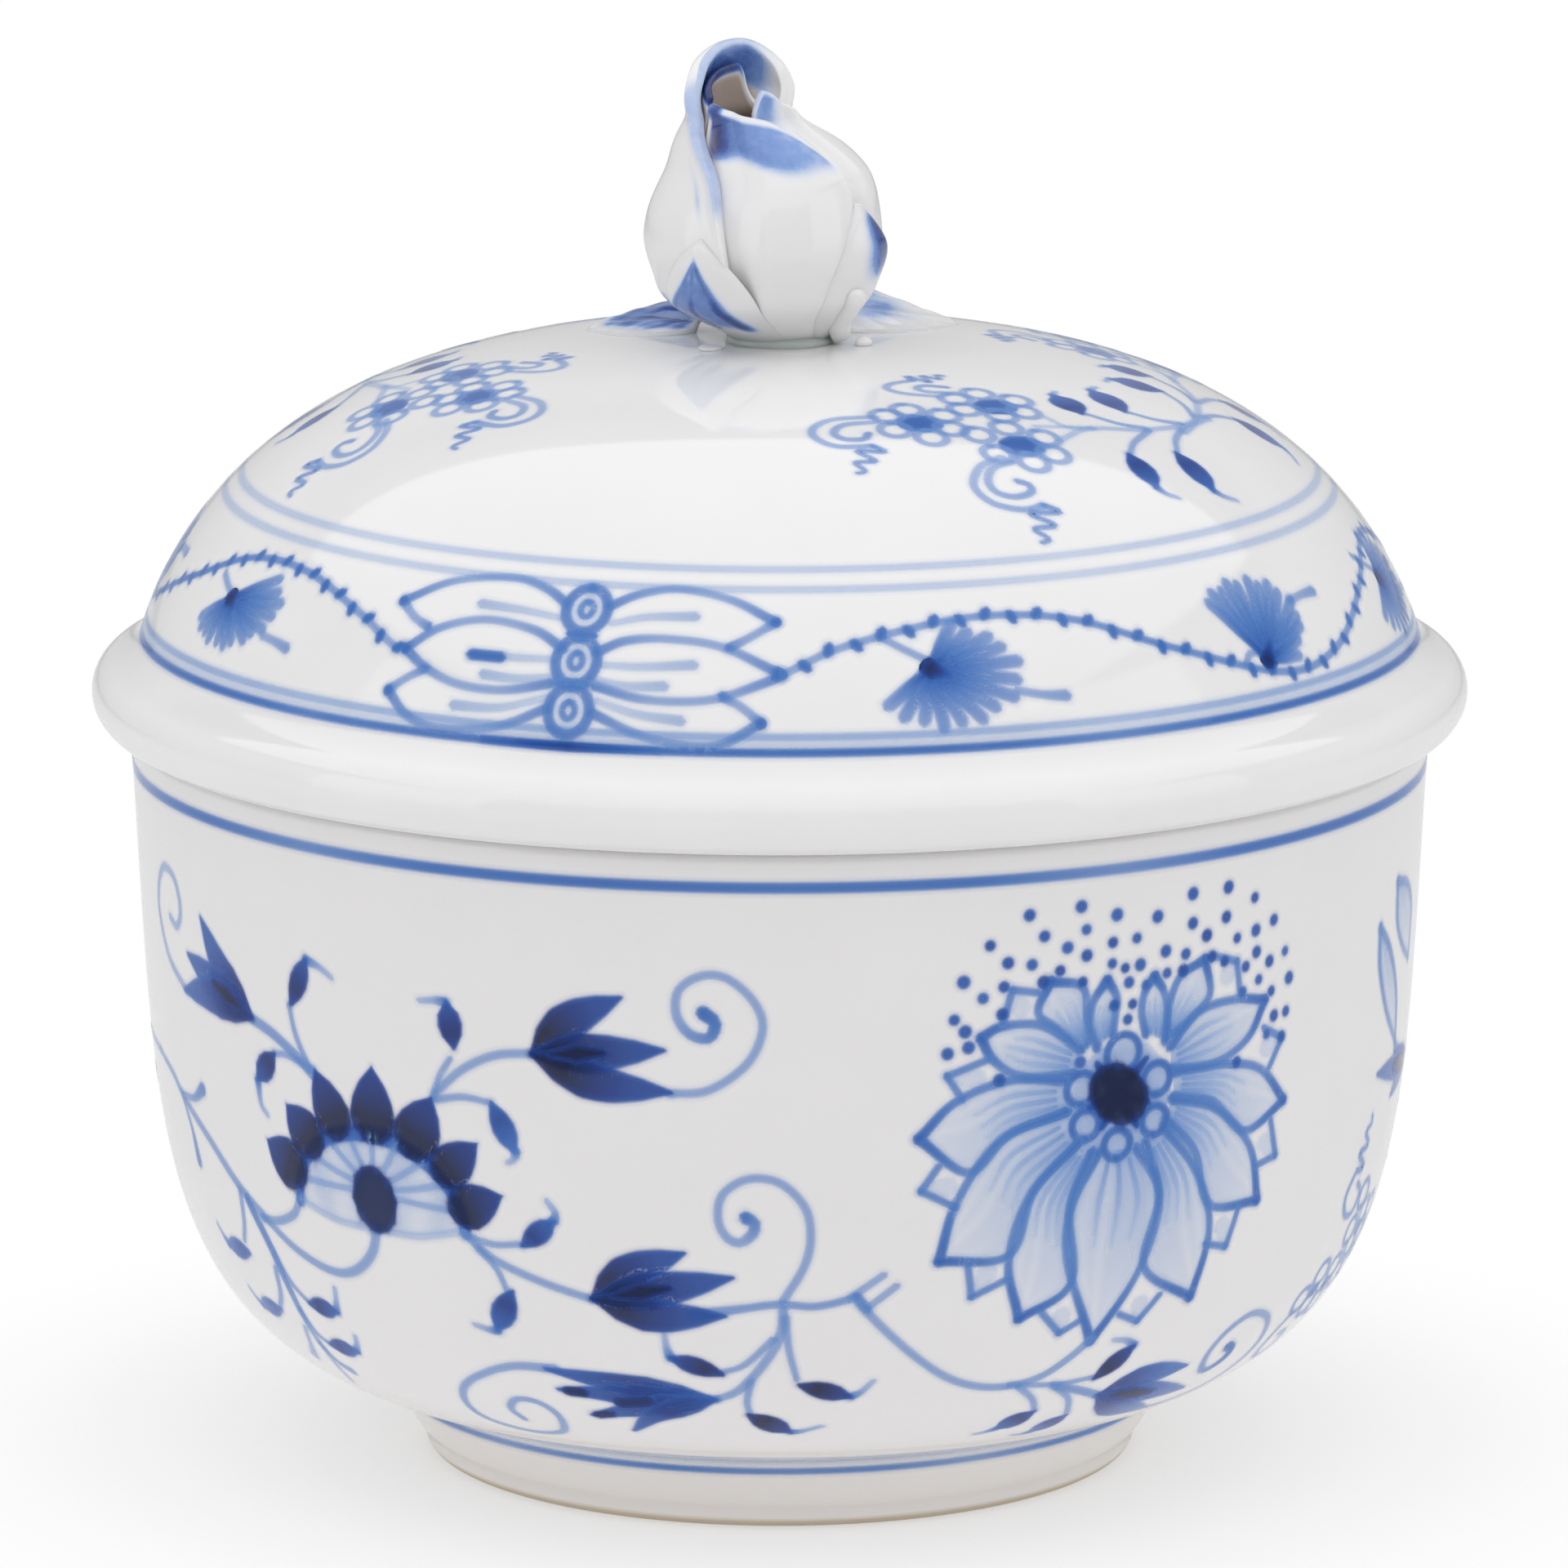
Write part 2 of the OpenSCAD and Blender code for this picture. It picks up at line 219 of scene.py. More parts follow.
def surface(name, points, material, body, slot, *nodes, paint=None, caps=False):
    """Makes a closed piece from a grid of points in millimetres, (rows, columns, xyz): each cell
    between neighbouring rows and columns is a face, and the last column joins the first. With caps,
    the first and last rows are closed to their own middles. Points that coincide are merged."""
    if caps:
        middles = np.repeat(points[[0, -1]].mean(axis=1, keepdims=True), points.shape[1], axis=1)
        points = np.concatenate([middles[:1], points, middles[1:]])
        if paint is not None:
            paint = np.concatenate([paint[:1], paint, paint[-1:]])
    rows, columns = points.shape[:2]
    corner = np.arange(rows * columns).reshape(rows, columns)
    beside = np.roll(corner, -1, axis=1)
    faces = np.stack([corner[:-1], beside[:-1], beside[1:], corner[1:]], axis=-1).reshape(-1, 4)
    mesh = bpy.data.meshes.new(name)
    mesh.from_pydata((points.reshape(-1, 3) / 1000).tolist(), [], faces.tolist())
    if paint is not None:
        layer = mesh.attributes.new("paint", "FLOAT_COLOR", "POINT")
        amounts = np.concatenate([paint, np.ones(paint.shape[:2] + (1,))], axis=-1)
        layer.data.foreach_set("color", np.clip(amounts, 0, 1).astype(np.float32).ravel())
    merged = bmesh.new()
    merged.from_mesh(mesh)
    bmesh.ops.remove_doubles(merged, verts=merged.verts, dist=1e-6)
    bmesh.ops.recalc_face_normals(merged, faces=merged.faces)
    merged.to_mesh(mesh)
    merged.free()
    mesh.shade_smooth()
    mesh.materials.append(material)
    piece = bpy.data.objects.new(name, mesh)
    scene.collection.objects.link(piece)
    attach(piece, body)
    if nodes:
        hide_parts(*nodes)
    return piece


def arc(centre, radius, first, last, count):
    """Points of a circle's arc about centre, from one angle to another in degrees."""
    angle = np.radians(np.linspace(first, last, count))
    return np.stack([centre[0] + radius * np.cos(angle), centre[1] + radius * np.sin(angle)], axis=-1)


def bezier(start, pull, end, count):
    """A curve from start to end whose two ends point at pull: (1-t)^2 a + 2t(1-t) b + t^2 c."""
    t = np.linspace(0, 1, count)[:, None]
    return (1 - t) ** 2 * np.array(start) + 2 * t * (1 - t) * np.array(pull) + t ** 2 * np.array(end)


def left_normals(outline):
    """The unit vector to the left of an outline at each of its points: its direction turned by a quarter."""
    way = np.gradient(outline, axis=0)
    way /= np.linalg.norm(way, axis=1, keepdims=True)
    return np.stack([-way[:, 1], way[:, 0]], axis=-1)


def throw(name, outline, around, *rest, **options):
    """Turns an outline of (radius, height) about the upright axis: x = r cos a, y = r sin a."""
    turn = np.linspace(0, 2 * np.pi, around, endpoint=False)
    r, z = outline[:, :1], outline[:, 1:]
    points = np.stack([r * np.cos(turn), r * np.sin(turn), z + 0 * turn], axis=-1)
    return surface(name, points, *rest, **options)


bowl_d, bowl_h, bowl_wall, bowl_floor, side_flare = 105.4, 60.3, 3.4, 4.2, 2.7
heel_h, heel_full, foot_h = 53.8, 4.75, 5.1
rim_round = 0.9


def bowl_radius(z):
    """The side's radius at height z: a superellipse of power 4.75 over the heel, plus a straight flare."""
    t = np.minimum(1, (z - foot_h) / heel_h)
    heel = (1 - (1 - t) ** heel_full) ** (1 / heel_full)
    return (bowl_d / 2 - side_flare) * heel + side_flare * (z - foot_h) / (bowl_h - foot_h)


climb = foot_h + (bowl_h - rim_round - foot_h) * np.linspace(0, 1, 110)[1:] ** 2.6
bowl_outside = np.concatenate([[[0, foot_h]], np.stack([bowl_radius(climb), climb], axis=-1)])
into_wall = left_normals(bowl_outside)
wall_here = bowl_wall + (bowl_floor - bowl_wall) * into_wall[:, 1:] ** 2
bowl_inside = bowl_outside + wall_here * into_wall
bowl_inside = bowl_inside[(bowl_inside[:, 0] > 1) & (bowl_inside[:, 1] < bowl_h - rim_round - 0.4)][::-1]
mouth_r = bowl_d / 2 - bowl_wall
bowl_rim = np.concatenate([
    arc((bowl_d / 2 - rim_round, bowl_h - rim_round), rim_round, 0, 90, 9)[1:],
    arc((mouth_r + rim_round, bowl_h - rim_round), rim_round, 90, 180, 9)])
bowl_outline = np.concatenate([bowl_outside, bowl_rim, bowl_inside, [[0, foot_h + bowl_floor]]])
bowl_glaze = glazed_porcelain("glazed_porcelain_bowl", ("#e4e2e2", "#e8e6e6"))
throw("bowl_body_porcelain", bowl_outline, 384, bowl_glaze, "bowl_body", "bowl_porcelain", "bowl")


# ---- Foot ring ----
# A short tapering ring, turned from the same clay and glazed with the bowl. The glaze is wiped off
# where it stands, so its lowest edge is bare, warm and matt.
foot_d, foot_wall, foot_taper = 63.0, 5.8, 2.4
foot_corner, foot_inner_corner = 1.2, 0.7


def underside(r):
    """The height of the bowl's underside at radius r, read back from the bowl's own outline."""
    return np.interp(r, bowl_outside[:, 0], bowl_outside[:, 1])


foot_out = foot_d / 2
foot_low = foot_out - foot_taper
foot_in = foot_out - foot_wall
junction = np.linspace(foot_out, foot_in, 24)
foot_outline = np.concatenate([
    arc((foot_in + foot_inner_corner, foot_inner_corner), foot_inner_corner, 180, 270, 9),
    arc((foot_low - foot_corner, foot_corner), foot_corner, -90, -15, 12),
    bezier((foot_low, foot_corner * 1.4), (foot_low + foot_taper * 0.65, foot_h * 0.6),
           (foot_out, underside(foot_out) - 0.04), 16),
    np.stack([junction[1:], underside(junction[1:]) - 0.04], axis=-1)])
# The foot's glaze colour is set a little lighter than the bowl's: painted light that makes up for the shade under
# the bowl
foot_glaze = glazed_porcelain("glazed_porcelain_foot", ("#e9e5e2", "#ece8e5"))
tree = foot_glaze.node_tree
shader = next(node for node in tree.nodes if node.type == "BSDF_PRINCIPLED")
height = add_node(tree, "SeparateXYZ", {0: add_node(tree, "TexCoord").outputs["Object"]})
wiped = add_node(tree, "MapRange", {"Value": height.outputs["Z"]}, From_Min=0.0009, From_Max=0.0005)
bare = add_node(tree, "Mix", {0: wiped.outputs[0], 6: shader.inputs["Base Color"].links[0].from_socket},
                data_type="RGBA")
bare.inputs[7].default_value = linear("#c9bca8")
tree.links.new(bare.outputs[2], shader.inputs["Base Color"])
matted = add_node(tree, "MapRange", {"Value": wiped.outputs[0]}, To_Min=0.08, To_Max=0.65)
tree.links.new(matted.outputs[0], shader.inputs["Roughness"])
foot_closed = np.concatenate([foot_outline, foot_outline[:1]])
throw("foot_ring_porcelain", foot_closed, 320, foot_glaze, "bowl_body", "foot_porcelain", "foot_ring")


# ---- Lid ----
# A domed lid, thrown upside down and turned, with a full shoulder that sweeps out into a rolled rim.
# The roll rests on the bowl's rim; a small flat is left on top where the rosebud is luted on.
lid_overhang, dome_h, lid_wall, roll_r, shoulder = 3.1, 31.2, 3.2, 2.95, 3.05
ring_r = bowl_d / 2 + lid_overhang - roll_r
ring_z = bowl_h + roll_r
dome_sink = 2.6
dome_r = ring_r + 0.53
dome_full = 2.04
bud_foot_r, bud_shift = 4.8, 1.6


def dome_height(r):
    """The dome's height at radius r: a superellipse, 3.05 across and 2.04 up, that ends below the rim."""
    fall = np.clip(1 - (np.minimum(r, dome_r) / dome_r) ** shoulder, 0, 1)
    return bowl_h - dome_sink + (dome_h + dome_sink) * fall ** (1 / dome_full)


land_r = bud_foot_r + bud_shift + 0.6
bud_z = float(dome_height(land_r))
dome_low_r = ring_r - 1.15
spread = land_r + (dome_low_r - land_r) * np.sin(np.linspace(0, np.pi / 2, 120))
dome_outside = np.concatenate([[[0, bud_z]], np.stack([spread, dome_height(spread)], axis=-1)])
roll_start = (ring_r + roll_r * np.cos(np.radians(60)), ring_z + roll_r * np.sin(np.radians(60)))
sweep = bezier((dome_low_r, dome_height(dome_low_r)), (ring_r - 0.75, ring_z + roll_r + 0.5), roll_start,
               14)
roll = arc((ring_r, ring_z), roll_r, 52, -90, 36)
flange_out = mouth_r - 0.9
flange_in = flange_out - 2.8
under_dome = (dome_outside + lid_wall * -left_normals(dome_outside))[2:]
under_dome = under_dome[under_dome[:, 1] > bowl_h + 8]
lid_foot = bezier(under_dome[-1], (flange_in + 1.2, bowl_h + 4), (flange_in, bowl_h), 14)
lid_face = np.concatenate([dome_outside, sweep[1:], roll])
lid_outline = np.concatenate([lid_face, lid_foot[::-1], under_dome[-2::-1], [[0, bud_z - lid_wall]]])
lid_glaze = glazed_porcelain("glazed_porcelain_lid", ("#e8e7e7", "#edecec"))
throw("lid_porcelain", lid_outline, 384, lid_glaze, "lid_body", "lid_porcelain", "lid")


# ---- Locating flange ----
# A short upright ring under the lid that drops inside the bowl's mouth and keeps the lid from sliding.
# It is thrown with the lid and glazed, with a rounded lower edge.
flange_drop, flange_wall = 6.0, 2.8
flange_low = bowl_h - flange_drop
flange_round = flange_wall / 2 - 0.1
flange_outline = np.concatenate([
    arc((flange_in + flange_round, flange_low + flange_round), flange_round, 180, 270, 10),
    arc((flange_out - flange_round, flange_low + flange_round), flange_round, -90, 0, 10),
    [[flange_out, bowl_h], [flange_in, bowl_h], [flange_in, flange_low + flange_round]]])
throw("lid_flange_porcelain", flange_outline, 256, lid_glaze, "lid_body", "lid_porcelain", "lid_flange")


# ---- Rosebud petals ----
# The handle is a rosebud built by hand from thin leaves of porcelain clay, wrapped one over the next
# on a small cone. A tall petal hoods the mouth from the left and the back, two more close the front.
bud_h, bud_d, petal_t, petal_gap, bud_lean = 24.0, 19.8, 0.85, 0.15, 2.3
bud_r = bud_d / 2
bud_wide = bud_h / 3
egg_low = bud_wide / np.sqrt(1 - (bud_foot_r / bud_r) ** 2)
egg_high = 0.467 * bud_h
neck_r = 0.475 * bud_r
pitch = petal_t + petal_gap
seam = 0.04


def smooth(low, high, x):
    """Goes from 0 at low to 1 at high with level ends: 3t^2 - 2t^3."""
    t = np.clip((x - low) / (high - low), 0, 1)
    return t * t * (3 - 2 * t)


def bump(centre, width, x):
    """A bell of height 1 about centre: exp(-((x - centre) / width)^2)."""
    return np.exp(-((x - centre) / width) ** 2)


def envelope(h):
    """The bud's radius at height h: an egg, joined by a soft maximum of power 8 to a narrower neck."""
    half = np.where(h < bud_wide, egg_low, egg_high)
    egg = bud_r * np.sqrt(np.clip(1 - ((h - bud_wide) / half) ** 2, 0, None))
    neck = np.where(h < bud_wide, 0, neck_r * (1 - 0.12 * smooth(0.75 * bud_h, bud_h, h)))
    return (egg ** 8 + neck ** 8) ** 0.125


def on_bud(azimuth, h, r):
    """A point of the leaning bud, from its azimuth in degrees, height and distance from its axis. The
    foot is drawn in and stands nearer to the lid's middle than the leaning mouth does."""
    x = 0.25 - bud_shift + 1.5 * smooth(3.5, 0, h) + 0.32 * bump(13.6, 2.5, h)
    x = x - bud_lean * smooth(0.56 * bud_h, 0.875 * bud_h, h) + 1.05 * smooth(17.5, 22, h)
    r = r * (0.975 - 0.045 * smooth(9, 5, h) - 0.19 * smooth(4, 0.5, h))
    turn = np.radians(azimuth)
    return np.stack([x + r * np.cos(turn), r * np.sin(turn), bud_z + seam + h], axis=-1)


def petal(name, start, end, top, tuck, thick, paint, *nodes, lip=0.2, curl=0.0, curl_at=180.0, wave=0.1,
          free=30.0, flare=0.0):
    """A petal from azimuth start to end. Its section runs up the outside, over a half-round lip and
    down the inside, and its thickness closes in a quarter circle at both side edges. The middle of
    the wall lies at the envelope less the petals over it, up to the height where it comes free and
    flares on the right; the lip swells, curls out and waves."""
    share = (1 - np.cos(np.linspace(0, np.pi, 190))) / 2
    azimuth = (start + (end - start) * share)[:, None]
    way = np.linspace(-1, 1, 150)[None, :]
    lip_share = 0.16
    bent = np.abs(way) / lip_share
    height = top(azimuth)
    half = thick / 2 * np.ones_like(azimuth * way)
    reach = np.radians(np.minimum(azimuth - start, end - azimuth)) * envelope(0.5 * height)
    half *= np.sqrt(1 - (1 - np.clip(reach / (1.1 * thick), 0, 1)) ** 2)
    quarter = np.clip(bent, 0, 1) * np.pi / 2
    swell_low = np.clip((bent - 1) / (1 / lip_share - 1), 0, 1) ** 1.15
    below = np.where(bent < 1, half * (1 - np.cos(quarter)), half + (height - half) * swell_low)
    h = np.clip(height - below, 0, None)
    half *= 1 + lip / (thick / 2) * bump(0, 1.5, below)
    across = np.sign(way) * half * np.sin(quarter)
    out = curl * bump(curl_at, 55, azimuth) * smooth(4.5, 0, below)
    out = out + wave * np.sin(np.radians(azimuth * 7)) * smooth(6, 0, below)
    out = out + flare * smooth(free - 4, free, h) * bump(20, 70, azimuth)
    r = envelope(h) - pitch * tuck(azimuth) * smooth(free, free - 3, h) - thick / 2 - across + out
    amounts = paint(azimuth + 0 * way, h, below, np.sign(way) + 0 * azimuth)
    return surface(name, on_bud(azimuth, h, r), bud_glaze, "lid_body", "rosebud_porcelain", *nodes,
                   paint=np.stack(amounts, axis=-1))


bud_glaze = glazed_porcelain("glazed_porcelain_rosebud", ("#e6e5e5", "#edebeb"), soft=0.2)


def foot_pool_and_shade(h):
    """Glaze runs down and pools grey-green at the bud's foot; the grey there is also painted shade in that crease.
    """
    return 0.75 * smooth(1.6, 0.1, h)


def hood_top(azimuth):
    """The hood rises steeply from both ends to its crest: H (1 - x^2)^0.31."""
    x = (azimuth - 100) / np.where(azimuth > 100, 154, 95)
    return bud_h * np.clip(1 - x * x, 1e-6, 1) ** 0.31


def hood_paint(azimuth, h, below, side):
    """The rolled lip is pale blue on its face with a white line round it, and deep blue inside it, all
    round the mouth; the wall fades to white at the right. A faint blue line a little under the roll at the
    front left is a painted shadow, and inside the mouth, below the blue, the wall is painted with warm
    shade. The distance from the lip joins the height below it and the way round to it as 1 / sqrt(1/a^2 + 1/b^2)."""
    lip_azimuth = 100 + 154 * np.sqrt(np.clip(1 - (h / bud_h) ** (1 / 0.31), 0, 1))
    round_to = np.radians(np.clip(lip_azimuth - azimuth, 0.05, None)) * envelope(h)
    near = 1 / np.sqrt(1 / np.maximum(below, 0.01) ** 2 + 1 / np.where(azimuth > 150, round_to, 1e3) ** 2)
    rolled = (0.11 + 0.16 * bump(0.1, 0.3, near)) * smooth(1.1, 0.7, near) * smooth(176, 200, azimuth)
    # Painted shadow: a faint blue line under the rolled lip at the front left
    line = 0.22 * bump(1.75, 0.3, near) * smooth(215, 235, azimuth) * smooth(19, 15, h)
    outer_lip = (rolled + line) * smooth(10, 12.5, h)
    cloud = 0.9 + 0.1 * np.sin(np.radians(azimuth * 5 + 20)) * np.cos(below * 1.1)
    deep = smooth(4.6, 3.0, below) * (0.66 + 0.22 * bump(205, 40, azimuth)) * cloud
    inner = (0.25 + (deep - 0.25) * smooth(0.2, 1.1, near)) * smooth(40, 95, azimuth) * smooth(9.5, 12.5, h)
    # Painted shade: warm shade on the inside of the mouth, below the blue
    warm = np.where(side > 0, 0.75 * smooth(3.2, 4.4, below) * smooth(45, 75, azimuth), 0)
    return np.where(side > 0, inner * smooth(4.8, 3.6, below), outer_lip), warm, foot_pool_and_shade(h)


petal("petal_hood_porcelain", 15, 253, hood_top, lambda a: 1 - smooth(78, 95, a), petal_t, hood_paint,
      "petal_hood", lip=0.32, curl=0.3, curl_at=215, wave=0.03, free=20.5,
      flare=0.8)


def inner_top(azimuth):
    """The inner petal's rim: highest behind the mouth, lower towards both ends."""
    return bud_h * (0.925 - 0.0000065 * (azimuth - 95) ** 2 - 0.13 * smooth(108, 68, azimuth))


def inner_paint(azimuth, h, below, side):
    """The thin rim of the inner petal is the darkest stroke on the bud, and its wall is warm shade."""
    rim = smooth(0.95, 0.35, below) * smooth(84, 120, azimuth)
    return rim, np.where(side > 0, 0.72, 0.35) * smooth(0.5, 1.3, below), 0 * h


petal("petal_inner_porcelain", 66, 214, inner_top, lambda a: 1.15 + 0 * a, petal_t - 0.25, inner_paint,
      "petal_inner", lip=0.02, wave=0.0)


def front_top(azimuth):
    """The front petal's rim: highest at its left tip, sinking slowly and dropping at the right end."""
    u = np.clip((azimuth - 220) / 103, 0, 1)
    return bud_h * (0.815 - 0.06 * u - 0.24 * u ** 14)


def front_paint(azimuth, h, below, side):
    """A wash under the rim down to a nearly level line, darkest in the left tip and paler to the
    right, thinned along the very edge into a white line that is a painted highlight. The inner face,
    and a strip of the outside beside the hood's lip, carry painted shade."""
    u = np.clip((azimuth - 220) / 103, 0, 1)
    floor = bud_h * (0.655 - 0.07 * u + 0.012 * np.sin(np.radians(azimuth * 6)))
    wash = smooth(floor - 0.5, floor + 1.1, h) * (0.50 + 0.44 * bump(238, 11, azimuth))
    wash *= (1 - 0.35 * smooth(250, 315, azimuth)) * smooth(322, 314, azimuth)
    # Painted highlight: the wash is thinned to white along the very edge
    painted_highlight_edge = 1 - 0.85 * smooth(0.7, 0.25, below) * smooth(234, 248, azimuth)
    wash *= smooth(226, 233, azimuth) + smooth(18, 19, h) * smooth(233, 226, azimuth)
    # Painted shade in the gap beside the hood's lip; the inner face below is painted with shade as well
    painted_shade_beside_lip = 0.42 * smooth(241, 229, azimuth) * smooth(10, 14, h) * smooth(19, 16.5, h)
    shade = np.where(side > 0, 0.7 * smooth(1, 6, below), painted_shade_beside_lip)
    return np.where(side > 0, 0.5 * wash, wash * painted_highlight_edge), shade, foot_pool_and_shade(h)


petal("petal_front_porcelain", 220, 323, front_top, lambda a: 1 - smooth(255, 273, a), petal_t,
      front_paint, "petal_front", lip=0.18, curl=0.15, curl_at=255, wave=0.0)


def right_top(azimuth):
    """The right petal's rim: a broad pointed tip at azimuth 297, falling away to both sides."""
    left = bud_h * (0.862 - 0.26 * (np.clip(297 - azimuth, 0, None) / 34) ** 1.25)
    right = bud_h * (0.862 - 0.42 * (np.clip(azimuth - 297, 0, None) / 120) ** 1.8)
    return np.where(azimuth < 297, left, right)


def right_paint(azimuth, h, below, side):
    """A light wash at the tip that thins out along the rim, and painted shade on the inner face."""
    wash = smooth(3.8, 1.6, below) * bump(299, 19, azimuth) * (0.44 - 0.22 * smooth(0.6, 0.1, below))
    # Painted shade on the inner face
    return wash, np.where(side > 0, 0.6 * smooth(2, 7, below), 0), foot_pool_and_shade(h)


petal("petal_right_porcelain", 266, 435, right_top, lambda a: 1 - smooth(327, 341, a), petal_t,
      right_paint, "petal_right", lip=0.12, curl=0.1, curl_at=330, wave=0.03)


# ---- Bud core ----
# The cone of clay that the petals are wrapped on. It ends inside the bud, so only its shaded top can
# be seen down the mouth. Its colour is painted warm shade all over.
core_top = 0.55 * bud_h
core_h = np.linspace(0, core_top, 30)
core_outline = np.concatenate([
    [[0, 0]],
    np.stack([envelope(core_h) - 2 * pitch - petal_gap, core_h], axis=-1),
    [[2.4, core_top + 0.5], [0, core_top + 0.7]]])
core_turn = np.linspace(0, 2 * np.pi, 96, endpoint=False)
core_r, core_z = core_outline[:, :1], core_outline[:, 1:]
core_points = on_bud(np.degrees(core_turn), core_z + 0 * core_turn, core_r + 0 * core_turn)
# Painted shade: warm shade over the whole core
core_painted_shade = np.stack([0 * core_points[..., 0], 0.85 + 0 * core_points[..., 0], 0 * core_points[..., 0]],
                      axis=-1)
surface("bud_core_porcelain", core_points, bud_glaze, "lid_body", "rosebud_porcelain", "bud_core",
        paint=core_painted_shade)


# ---- Sepals ----
# Four pointed sepals are pressed onto the bud's foot with slip. Each has a raised midrib that ends in
# a white tip, and fine cobalt streaks brushed from its foot upwards.
sepal_t = 0.6


def sepal(name, azimuth, half_width, tip_h, tip_lean, streaks, *nodes, fill=0.4, edge=None, full=1.0):
    """A sepal hugging the petals: a closed loop runs across its outside and back along its inside,
    s = -cos(a), and it narrows to its tip as 1 - v^1.7. The rib stands up along its middle, full scales
    its thickness, and with edge its right-hand side bulges out at that share of its height and is
    brushed dark."""
    v = np.linspace(0, 1, 110)[:, None]
    turn = np.linspace(0, 2 * np.pi, 140, endpoint=False)[None, :]
    s = -np.cos(turn)
    h = tip_h * v + 0 * s
    az = azimuth + tip_lean * v + s * half_width * (1 - 0.98 * v ** 1.7)
    plump = (np.abs(np.sin(turn)) ** 0.8 * sepal_t * (1 - 0.45 * s * s) * smooth(-1.5, 3, h)
             * smooth(1.25, 0.7, v))
    rib = 0.15 * bump(0, 0.25, s) * smooth(0, 0.3, v) + 0.30 * bump(1, 0.13, v) * bump(0, 0.6, s)
    rib = rib * smooth(0.6, 1, full)
    outside = np.sin(turn) > 0
    lift = np.where(outside, plump * full + rib, 0.0) + petal_gap * smooth(1, 0.9, v) * (1 - s ** 4)
    lift = lift - 0.05 * s ** 4
    middle = np.mean([streak[0] for streak in streaks] or [0])
    beam = np.abs(s - 0.8 * middle * (1 - v)) / np.clip(1.15 - 1.2 * v, 0.05, 1)
    ink = fill * smooth(0.78, 0.5, beam) * smooth(0.86, 0.55, v) * smooth(0.13, 0.27, v)
    for centre, width, depth in streaks:
        line = bump(centre * np.clip(1 - 1.18 * v, 0, 1), width * (1 - 0.75 * v) + 0.02, s)
        fresh = smooth(0.92, 0.74, v) * (0.62 + 0.38 * smooth(0.6, 0.2, v)) * smooth(0.13, 0.22, v)
        ink = np.maximum(ink, depth * line * fresh)
    if edge:
        beside = smooth(-0.5, 0.35, s) * smooth(edge - 0.36, edge - 0.12, v) * smooth(1.02, 0.88, v)
        ink = np.maximum(ink, 0.85 * beside)
        lift = lift + 0.45 * bump(edge - 0.03, 0.3, v) * smooth(-0.6, 0.9, s) * smooth(1.02, 0.9, v)
    amounts = np.stack([np.where(outside, ink, 0), 0 * h, foot_pool_and_shade(h)], axis=-1)
    return surface(name, on_bud(az, h, envelope(h) + lift), bud_glaze, "lid_body", "leaf_porcelain",
                   *nodes, paint=amounts, caps=True)


three_streaks = [(-1.05, 0.17, 0.8), (-0.28, 0.19, 0.86), (0.58, 0.19, 0.95)]
two_streaks = [(-0.45, 0.18, 0.6), (0.5, 0.18, 0.7)]
sepal("sepal_left_porcelain", 232, 42, 0.395 * bud_h, 7, three_streaks, "sepal_left", fill=0.5)
sepal("sepal_right_porcelain", 345, 38, 0.50 * bud_h, -22, [], "sepal_right", fill=0.0, edge=0.74)
sepal("sepal_side_porcelain", 150, 38, 0.34 * bud_h, 6, two_streaks, "sepal_side", full=0.6)
sepal("sepal_back_porcelain", 62, 40, 0.42 * bud_h, -6, three_streaks, "sepal_back", full=0.8)


# ---- Stem ----
# A short twisted roll of clay that stands on the lid at the front right and climbs beside the bud's
# foot, like the cut end of the flower's stalk.
stem_r = 1.0
stem_t = np.linspace(0, 1, 80)[:, None]
stem_turn = np.linspace(0, 2 * np.pi, 48, endpoint=False)[None, :]
stem_az = -26 - 11 * stem_t + 0 * stem_turn
stem_h = 0.1 + 5.0 * stem_t + 0 * stem_turn
stem_round = np.sqrt(np.clip(1 - np.abs(2 * stem_t - 1) ** 5, 0, 1))
stem_twist = 1.08 + 0.05 * np.cos(3 * stem_turn + 4 * stem_t) + 0.04 * np.sin(7 * stem_t)
stem_radius = stem_r * stem_round * stem_twist
stem_out = envelope(stem_h) + petal_gap + 0.5 + 1.1 * smooth(2, 0, stem_h) + stem_radius * np.cos(stem_turn)
stem_side = (stem_radius * np.sin(stem_turn))[..., None]
stem_aim = np.radians(stem_az)
stem_points = on_bud(stem_az, stem_h, stem_out)
stem_points += stem_side * np.stack([-np.sin(stem_aim), np.cos(stem_aim), 0 * stem_aim], axis=-1)
# Grey-green pooled glaze together with painted shade where the stem meets the lid
stem_pool_and_shade = np.stack([0 * stem_radius, 0 * stem_radius, 0.35 * smooth(1.5, 0, stem_h)],
                      axis=-1)
surface("stem_porcelain", stem_points, bud_glaze, "lid_body", "rosebud_porcelain", "stem", paint=stem_pool_and_shade,
        caps=True)


# ---- Leaves ----
# Two small cupped leaves of rolled clay lie on the lid with their roots at the bud's foot. Their upper
# faces are brushed with a mottled cobalt wash that gathers along the raised edge.
leaf_l, leaf_w, leaf_t = 12.6, 8.4, 1.0
root_share = 0.8                    # how far out the roots start, as a share of the bud's radius there


